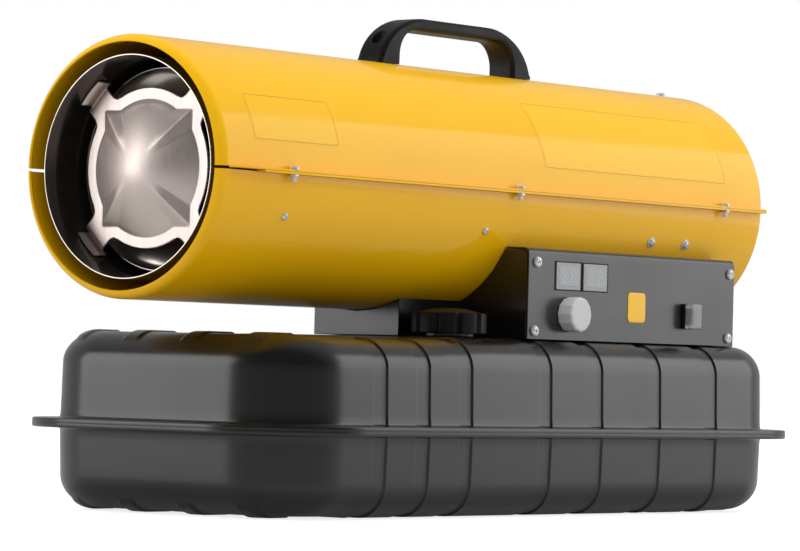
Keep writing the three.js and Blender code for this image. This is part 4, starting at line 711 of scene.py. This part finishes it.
def blade(angle):
    """Twisted cambered blade: at each radius a parabola of camber 6 mm on a chord pitched from 48 to 24 degrees.

    Distance along the chord wraps round the axis, so its angle is that distance over the radius.
    """
    share, along = np.linspace(0, 1, 25)[:, None], np.linspace(-1, 1, 21)[None]
    radius = HUB - 2 + share * (FAN_RADIUS - HUB + 2)
    pitch = np.radians(48 - 24 * share)
    chord = (44 + 34 * np.sin(share * 2.2)) * (1 - 0.16 * step((share - 0.86) / 0.14) * along ** 6)
    camber = 6 * (1 - along ** 2)
    sweep = along * chord / 2 * np.cos(pitch) - camber * np.sin(pitch)
    lift = along * chord / 2 * np.sin(pitch) + camber * np.cos(pitch)
    turn = angle + sweep / radius
    return patch(np.stack([radius * np.cos(turn), FAN_Y + lift, radius * np.sin(turn)], -1))


blades = make("fan_blades", on_axis([blade(-k * 2 * np.pi / BLADES) for k in range(BLADES)]),
              pressed_aluminium, ["axial_fan"], "rotor", outward=False)
thick = blades.modifiers.new("sheet", "SOLIDIFY")
thick.thickness, thick.offset = 0.0016, 0
hub = eased([[0, -15], [12, -15], [17, -9], [17, 15], [0, 15]], [0, 3, 3, 0.6, 0], 6)
make("fan_hub", [turned(hub, 96, "y", (0, FAN_Y, AXIS_Z))], turned_aluminium,
     body="rotor")

# ---- motor, air pump and their bracket
# A capacitor motor in a painted can, on a folded bracket; a vane pump on its rear end with a ported
# end cover. The pump's air goes down a hose and along to the burner.

MOTOR_Y, MOTOR_LONG = 105.0, 100.0
PUMP_Y, COVER_Y = MOTOR_Y + MOTOR_LONG + 0.3, MOTOR_Y + MOTOR_LONG + 28.6

carbon = surface("pressed carbon", "#1B1B1D", 0.55)
# Self-lubricating carbon: dull black with a faint sheen.
mottle(carbon, 4, 0.48, 0.62)
cast_aluminium = surface("die-cast aluminium", "#A9ABAE", 0.45, 1.0)
# Die casting: slightly grainy skin, cloudy from the mould's flow.
grain(cast_aluminium, (1.1, 0.03))
mottle(cast_aluminium, 18, 0.38, 0.55)
copper = surface("drawn copper tube", "#C08058", 0.3, 1.0)
# Bright copper browning in patches.
tint(copper, 20, "#C58A63", "#9C5F3E")

f, e = MOTOR_Y, MOTOR_Y + MOTOR_LONG
can = [[4.3, f - 6], [10, f - 6], [10, f], [32, f], [41, f + 9], [42.5, f + 22], [44, f + 22], [44, e - 22],
       [42.5, e - 22], [42.5, e], [4.3, e]]
make("motor_can", on_axis([turned(eased(can, 1.2, 4, closed=True), 120, "y")]), tank_enamel,
     ["motor_housing"])
f = PUMP_Y
make("pump_block", [turned(eased([[4.3, f], [40, f], [40, f + 28], [30, f + 28], [30, f + 3], [4.3, f + 3]], 0.8, 4,
                                 closed=True), 120, "y", (0, 0, AXIS_Z))], cast_aluminium,
     ["pump_body"])
f, e = COVER_Y, COVER_Y + 26
cover = eased([[0, f], [40, f], [40, e - 6], [36, e], [12, e], [10, e + 3], [5, e + 3], [4.5, e + 8], [0, e + 8]],
              [0, 0.8, 3, 3, 1, 1, 0.6, 0.8, 0], 5)
turn = np.linspace(0, 2 * np.pi, 288, endpoint=False)
r, h = cover[:, :1], cover[:, 1:] - 0 * turn
sector = np.abs((turn * 8 / (2 * np.pi)) % 1 - 0.5)
h = h - 4 * step((r - 17) / 2) * step((32 - r) / 2) * step((0.17 - sector) / 0.05) * (cover[:, 1:] > e - 3)
casting = patch(np.stack([r * np.cos(turn), h, r * np.sin(turn)], -1), around=True)
make("pump_cover_casting", on_axis([casting]), cast_aluminium, ["pump_end_cover"])
make("motor_shaft_turning", [turned(eased([[0, 64.3], [SHAFT, 64.3], [SHAFT, PUMP_Y + 24], [0, PUMP_Y + 24]],
                                          [0, 0.5, 0.5, 0]), 48, "y", (0, 0, AXIS_Z))], zinc,
     ["motor_shaft"], "rotor")
finish_nodes(zinc, "motor_bracket")
finish_nodes(carbon, "pump_rotor", "pump_vane_1", "pump_vane_2", "pump_vane_3", "pump_vane_4")
finish_nodes(nitrile, "air_hose")
finish_nodes(copper, "fuel_line")

# ---- rear guard
# Welded wire grille over the air inlet: rings of steel wire crossed by straight spokes, all coated
# black. It sits inside the rear lip of the tube.

GUARD_Y, GUARD_RADIUS, WIRE = 347.4, 101.7, 1.5


def wire_ring(radius, thick):
    """Torus about the Y axis."""
    section = arc((radius, 0), thick, 0, 360, 13)
    return turned(section, 120, "y", (0, GUARD_Y, AXIS_Z))


def wire_spoke(angle, start, end):
    """Straight wire from one radius to another, just behind the rings."""
    line = [[0, start], [WIRE, start], [WIRE, end], [0, end]]
    points, quads = turned(line, 16, "x")
    c, s = np.cos(angle), np.sin(angle)
    return points @ np.array([[c, 0, s], [0, 1, 0], [-s, 0, c]]) + [0, GUARD_Y + WIRE * 0.9, AXIS_Z], quads


rings = [wire_ring(r, 1.3) for r in np.linspace(14, GUARD_RADIUS - 9, 8)] + [wire_ring(GUARD_RADIUS, 1.8)]
spokes = [wire_spoke(np.pi / 8 + k * np.pi / 4, 12, GUARD_RADIUS) for k in range(8)]
make("rear_guard_wires", rings + spokes, tank_enamel, ["rear_guard"])

# ---- carrying handle
# One bow moulded in black polyamide, its feet shaped to the tube, with a screw sunk deep in each
# foot. Its section is a soft rectangle, thick at the feet and thinner at the grip.

HANDLE_Y, HANDLE_HALF, FOOT, GRIP, HANDLE_TOP, HANDLE_WIDE = 24.5, 106.5, 28.0, 11.0, 146.0, 28.0
SHOULDER, SHOULDER_Z, OPENING_ROUND = 62.0, 97.0, 22.0
WELL_IN, WELL, WELL_DEEP, FOOT_LOW, FOOT_HIGH = 14.0, 5.5, 13, 92, 109


def handle():
    """Soft rectangle carried along the bow: its ends lie on an outer and an inner line, its width is constant.

    The outer line is a quarter ellipse at each shoulder, the inner one a quarter circle. Near the feet
    the section sinks to the tube, whose height over its axis is sqrt(R^2 - x^2).
    """
    count = 90
    swing = np.linspace(0, 90, count)
    rise = np.linspace(FOOT_LOW, SHOULDER_Z, 14)[:-1]
    outer = np.vstack([np.stack([np.full(13, HANDLE_HALF), rise], -1),
                       np.stack([HANDLE_HALF - SHOULDER + SHOULDER * np.cos(np.radians(swing)),
                                 SHOULDER_Z + (HANDLE_TOP - SHOULDER_Z) * np.sin(np.radians(swing))], -1)])
    inside, under = HANDLE_HALF - FOOT, HANDLE_TOP - GRIP
    rise = np.linspace(FOOT_LOW, under - OPENING_ROUND, 14)[:-1]
    inner = np.vstack([np.stack([np.full(13, inside), rise], -1),
                       arc((inside - OPENING_ROUND, under - OPENING_ROUND), OPENING_ROUND, 0, 90, count)])
    middle = np.linspace(1, -1, 30)[1:-1, None]
    bow = lambda line: np.vstack([line, line[-1] * [1, 0] * middle + line[-1] * [0, 1], line[::-1] * [-1, 1]])
    outer, inner = bow(outer), bow(inner)
    mid, half = (outer + inner) / 2, (outer - inner) / 2
    thick = np.linalg.norm(half, axis=1)
    across = half / thick[:, None]
    base, out = soft_ring(9, 26)
    corner = 4.2
    p = base[None, :, :1] * (HANDLE_WIDE / 2 - corner) + corner * out[None, :, :1]
    q = base[None, :, 1:] * (thick[:, None, None] - corner) + corner * out[None, :, 1:]
    points = np.concatenate([np.broadcast_to(p, q.shape), mid[:, None] + q * across[:, None]], -1)
    floor = np.sqrt((BODY + 0.3) ** 2 - points[..., 0] ** 2)
    z = points[..., 2]
    foot = floor + (z - FOOT_LOW) * (FOOT_HIGH - floor) / (FOOT_HIGH - FOOT_LOW)
    points[..., 2] = np.where(z < FOOT_HIGH, foot, z)
    rho = np.hypot(points[..., 0], np.abs(points[..., 1]) - HANDLE_HALF + WELL_IN)
    points[..., 2] -= WELL_DEEP * step((WELL - rho) / 0.8) * (q[..., 0] > 0) * (points[..., 2] > 118)
    ends = [np.stack([points[k], np.broadcast_to(points[k].mean(0), points[k].shape)]) for k in (0, -1)]
    return [patch(points, around=True), *(patch(e, around=True) for e in ends)]


make("handle_moulding", moved(handle(), (0, HANDLE_Y, AXIS_Z)), moulded_black,
     ["carrying_handle"], crease=60)

# ---- pedestal and control box
# Folded from steel sheet and cut to the tube's curve: a narrow pedestal ahead, and a box behind it that
# holds the electrics. The panel closes the box with a rounded top bend. Same enamel as the tank.


def dressed(node, material, width, body="heater"):
    """Copy of a CAD node with merged corners, flat faces joined and its sharp edges rounded by a bevel."""
    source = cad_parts[node]
    mesh = source.data.copy()
    mesh.transform(source.matrix_world)
    mesh.name = f"{node}_finished"
    work = bmesh.new()
    work.from_mesh(mesh)
    bmesh.ops.remove_doubles(work, verts=work.verts, dist=0.00002)
    bmesh.ops.dissolve_limit(work, angle_limit=np.radians(1.5), verts=work.verts, edges=work.edges)
    work.to_mesh(mesh)
    work.free()
    mesh.materials.clear()
    shaded(mesh, material)
    piece = linked(f"{node}_finished", mesh)
    bevel = piece.modifiers.new("rounded edges", "BEVEL")
    bevel.width, bevel.segments, bevel.limit_method = width * 0.001, 2, "ANGLE"
    bevel.angle_limit, bevel.use_clamp_overlap = np.radians(40), True
    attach(piece, body)
    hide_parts(node)
    return piece


dressed("front_pedestal", tank_enamel, 0.5)
dressed("control_box", tank_enamel, 0.5)
dressed("control_panel", tank_enamel, 0.45)

# ---- panel screws and plate
# Zinc-plated pan heads with cross recesses, one at each corner of the panel, threaded into the box's
# flanges. A small plain plate of yellow polyester is stuck on beside the knob.

PANEL = 118.5
PANEL_SCREWS = [(5.6, 213.6), (3.4, 155.3), (294.9, 213.1), (293.1, 155.4)]
parts = []
for n, (y, z) in enumerate(PANEL_SCREWS):
    parts += screw((PANEL, y, z), (1, 0, 0), 4.6, 3.0, 0.35 + n * 1.1)
make("panel_screws", parts, zinc)
make("blank_plate", [slab((PANEL - 0.1, 138.5, 166.0), (PANEL + 0.5, 164.5, 192.0), "x", 4.0, 0.2)], film_yellow)

# ---- displays
# Two seven-segment modules in black bezels behind the panel, unlit: each a grey frame with a clear
# window and two pale digits with their points.

display_frame = surface("moulded pale grey polycarbonate", "#9FA1A3", 0.4)
# Satin moulding with a fine even grain.
grain(display_frame, (1.2, 0.01))
display_window = surface("clear display window over grey", "#7D8082", 0.12, Coat_Weight=1.0,
                         Coat_Roughness=0.04)
# Smoked window: glassy, the unlit reflector shows grey behind it.
mottle(display_window, 10, 0.1, 0.18)
segment_white = surface("unlit diffuser epoxy", "#B5B7B8", 0.35)
# Milky epoxy in the segment slots, paler than its reflector.
mottle(segment_white, 3, 0.3, 0.4)

DISPLAYS, DISPLAY_Z, DISPLAY_SIZE, DIGIT = (31.0, 70.0), 202.9, (38.0, 24.2), 0.72


def segments(y, z):
    """The seven bars of one digit, each a flat hexagon, and its point: high enough to stand off the window."""
    bar = np.array([[-3.3, 0], [-2.5, 0.8], [2.5, 0.8], [3.3, 0], [2.5, -0.8], [-2.5, -0.8]])
    places = [(0, 7.4, 0), (0, 0, 0), (0, -7.4, 0), *((a, b, 1) for b in (3.7, -3.7) for a in (-3.8, 3.8))]
    parts = []
    for a, b, upright in places:
        ring = bar[:, ::-1] if upright else bar
        ring = (ring * [1, 0.92] + [a, b]) * DIGIT
        top = np.column_stack([np.full(6, PANEL + 1.12), y + ring[:, 0] + 0.1 * ring[:, 1], z + ring[:, 1]])
        low = top - [0.2, 0, 0]
        middle = np.broadcast_to(top.mean(0), top.shape)
        parts.append(patch(np.stack([low, top, middle]), around=True))
    dot = [[0, PANEL + 1.12], [0.9 * DIGIT, PANEL + 1.12], [0.9 * DIGIT, PANEL + 0.9]]
    parts.append(turned(dot, 24, "x", (0, y + 5.9 * DIGIT, z - 7.4 * DIGIT)))
    return parts


for n, y in enumerate(DISPLAYS):
    z0, z1 = DISPLAY_Z - DISPLAY_SIZE[1] / 2 + 0.3, DISPLAY_Z + DISPLAY_SIZE[1] / 2 - 0.3
    y0, y1 = y + 0.3, y + DISPLAY_SIZE[0] - 0.3
    make(f"display_{n + 1}_bezel", [slab((PANEL - 10.5, y0, z0), (PANEL + 0.2, y1, z1), "x", 0.8, 0.2)],
         moulded_black, [f"display_module_{n + 1}"])
    make(f"display_{n + 1}_frame",
         [slab((PANEL - 1, y0 + 1.6, z0 + 0.3), (PANEL + 0.9, y1 - 1.6, z1 - 0.3), "x", 0.8, 0.35)],
         display_frame)
    make(f"display_{n + 1}_window", [slab((PANEL - 1, y0 + 4.6, z0 + 3.2), (PANEL + 1.02, y1 - 4.6, z1 - 3.2), "x",
                                          1.0, 0.12)], display_window)
    digits = [piece for side in (-6, 6) for piece in segments(y + DISPLAY_SIZE[0] / 2 + side, DISPLAY_Z)]
    make(f"display_{n + 1}_digits", digits, segment_white, outward=False)

# ---- thermostat knob
# Grey moulded knob with twelve flats and a chamfered face, pressed onto the shaft of the
# potentiometer behind the panel.

KNOB_Y, KNOB_Z, KNOB, KNOB_HIGH, FLATS = 51.0, 170.3, 15.0, 15.0, 12

moulded_grey = surface("moulded grey ABS", "#CBCCCE", 0.42)
# Satin ABS: even pale grey with a fine eroded grain.
grain(moulded_grey, (0.9, 0.015))

turn = np.linspace(0, 2 * np.pi, 288, endpoint=False)
line = eased([[3.3, 9.3], [3.3, 1], [6, 1], [6, 0.4], [KNOB, 0.4], [KNOB, KNOB_HIGH - 1.2], [KNOB - 1.5, KNOB_HIGH],
              [0, KNOB_HIGH - 0.3]], [0, 0.1, 0.1, 0.1, 0.5, 0.6, 0.5, 0], 5)
line = np.vstack([[0, 9.3], line])
# A flat's distance from the axis is the radius times cos(half its angle) over cos(angle from its middle).
flat = np.cos(np.pi / FLATS) / np.cos(turn % (2 * np.pi / FLATS) - np.pi / FLATS)
r = line[:, :1] * (1 - (1 - flat) * step((line[:, :1] - 8) / 4))
out = np.broadcast_to(PANEL + line[:, 1:], r.shape)
knob = np.stack([out, KNOB_Y + r * np.cos(turn), KNOB_Z + r * np.sin(turn)], -1)
make("thermostat_knob_moulding", [patch(knob, around=True)], moulded_grey,
     ["thermostat_knob"], "knob", crease=20)
finish_nodes(turned_aluminium, "potentiometer_shaft")
finish_nodes(zinc, "potentiometer")

# ---- rocker switch and its boot
# A rocker switch clipped into the panel, black, under a clear elastomer boot that keeps out splashes.
# The rocker lies in its off position.

SWITCH_Y, SWITCH_Z = 230.3, 173.3

clear_elastomer = surface("clear silicone elastomer", "#BFC2C4", 0.22, IOR=1.41, Transmission_Weight=0.55)
# Milky soft moulding: the rocker shows through it, softened.
mottle(clear_elastomer, 5, 0.18, 0.26)

dressed("switch_body", moulded_black, 0.3)
dressed("switch_rocker", moulded_black, 0.3, body="rocker")
base = PANEL + 2.1
outside = slab((base, SWITCH_Y - 7.75, SWITCH_Z - 11.2), (base + 8.5, SWITCH_Y + 7.75, SWITCH_Z + 11.2), "x",
               2.6, 1.6)
make("switch_boot_moulding", [outside], clear_elastomer, ["switch_boot"])

# ---- electrics and cord gland
# Behind the panel: a glass-fibre circuit board and a potted ignition transformer. The gland for the
# supply cord is in the box's rear wall.

laminate = surface("green solder-masked laminate", "#1E5B38", 0.3, Coat_Weight=0.4)
# Glossy green lacquer over glass cloth, lighter where copper lies under it.
tint(laminate, 5, "#1E5B38", "#2A6E45")
potting = surface("potting resin in a moulded case", "#121214", 0.25, Coat_Weight=0.3)
# Smooth near-black casting with a soft cloudy gloss.
mottle(potting, 12, 0.2, 0.34)

finish_nodes(laminate, "circuit_board")
finish_nodes(potting, "ignition_transformer")
rear = 302.5
gland = eased([[4, rear - 13.8], [11, rear - 13.8], [11, rear - 1.8], [8, rear - 1.8], [8, rear + 0.3],
               [11, rear + 0.3], [11, rear + 6.3], [8.5, rear + 8.3], [7.5, rear + 16.3], [4, rear + 17.3]],
              0.5, 4, closed=True)
make("cord_gland_moulding", [turned(gland, 72, "y", (88, 0, 172.3))], moulded_black,
     ["cord_gland"])

# ---- floor, light and camera
# A white studio: floor and background white to the camera, softboxes at both sides and above.


def glow(diffuse, seen, white, dark, away):
    """World light: even for rough surfaces, white to the camera, and in reflections dimmer on one side.

    The dim side is the open room that faces the studio. In reflections the strength falls from white to
    dark as the ray's dot product with that direction goes from -0.2 to 0.35.
    """
    world = bpy.data.worlds.new("studio")
    bpy.context.scene.world = world
    world.use_nodes = True
    tree = world.node_tree
    tree.nodes.clear()
    path = add(tree, "LightPath")
    ray = add(tree, "TexCoord").outputs["Generated"]
    facing = add(tree, "VectorMath", operation="DOT_PRODUCT", i0=ray, i1=away)
    room = add(tree, "MapRange", Value=facing.outputs["Value"], i1=-0.2, i2=0.35, i3=white, i4=dark)
    lit = add(tree, "MapRange", Value=path.outputs["Is Glossy Ray"], i3=diffuse, i4=room.outputs[0])
    shown = add(tree, "Math", operation="MAXIMUM", i0=path.outputs["Is Camera Ray"],
                i1=path.outputs["Is Transmission Ray"])
    level = add(tree, "MapRange", Value=shown.outputs[0], i3=lit.outputs[0], i4=seen)
    back = add(tree, "Background", Color=(1, 1, 1, 1), Strength=level.outputs[0])
    out = tree.nodes.new("ShaderNodeOutputWorld")
    tree.links.new(back.outputs[0], out.inputs[0])


def softbox(name, place, target, size, power, reflected=True):
    """Rectangular white area lamp at a place in metres, turned so that its -Z looks at the target."""
    lamp = bpy.data.lights.new(name, "AREA")
    lamp.shape, lamp.size, lamp.size_y = "RECTANGLE", *size
    lamp.energy = power
    spot = linked(name, lamp)
    away = np.array(place, float) - target
    turn = np.eye(4)
    turn[:3, :3] = facing(away)
    turn[:3, 3] = place
    spot.matrix_world = Matrix(turn.tolist())
    spot.visible_glossy = reflected


glow(0.95, 1.0, 0.4, 0.08, (0.62, -0.78, 0.02))
softbox("front left", (-1.7, -2.2, 0.72), (0, -0.2, 0.2), (1.6, 1.4), 16)
softbox("rear right", (1.45, 2.0, 0.9), (0.1, 0.1, 0.25), (1.8, 1.6), 12)
softbox("top", (0.0, 0.2, 2.4), (0, 0, 0.2), (2.2, 1.2), 18, reflected=False)

floor_white = surface("pale studio floor", "#B0B0B0", 0.8)
# Pale paper: white to the camera but for the object's shadow, and faint in reflections.
tree, shader = shading(floor_white)
path = add(tree, "LightPath")
shown = add(tree, "Math", operation="MAXIMUM", i0=path.outputs["Is Glossy Ray"],
            i1=path.outputs["Is Transmission Ray"])
lift = add(tree, "MapRange", Value=shown.outputs[0], i3=0.0, i4=0.05)
lift = add(tree, "MapRange", Value=path.outputs["Is Camera Ray"], i3=lift.outputs[0], i4=0.8)
tree.links.new(lift.outputs[0], shader.inputs["Emission Strength"])
shader.inputs["Emission Color"].default_value = (1, 1, 1, 1)
reach = 12.0
floor = bpy.data.meshes.new("floor")
floor.from_pydata([(-reach, -reach, -0.0005), (reach, -reach, -0.0005), (reach, reach, -0.0005),
                   (-reach, reach, -0.0005)], [], [(0, 1, 2, 3)])
floor.materials.append(floor_white)
ground = linked("floor", floor)

AZIMUTH, PITCH, ROLL = np.radians([38.6732, 1.374, 1.4483])
view = np.array([-np.sin(AZIMUTH) * np.cos(PITCH), np.cos(AZIMUTH) * np.cos(PITCH), np.sin(PITCH)])
right = np.array([np.cos(AZIMUTH), np.sin(AZIMUTH), 0])
up = np.cross(right, view)
right, up = np.cos(ROLL) * right + np.sin(ROLL) * up, np.cos(ROLL) * up - np.sin(ROLL) * right
lens = bpy.data.cameras.new("camera")
lens.sensor_width, lens.sensor_fit, lens.lens = 36.0, "HORIZONTAL", 183.61
camera = linked("camera", lens)
turn = np.eye(4)
turn[:3, :3] = np.stack([right, up, -view], -1)
turn[:3, 3] = (2.17993, -2.75478, 0.11662)
camera.matrix_world = Matrix(turn.tolist())
bpy.context.scene.camera = camera
bpy.context.scene.view_settings.view_transform = "Standard"
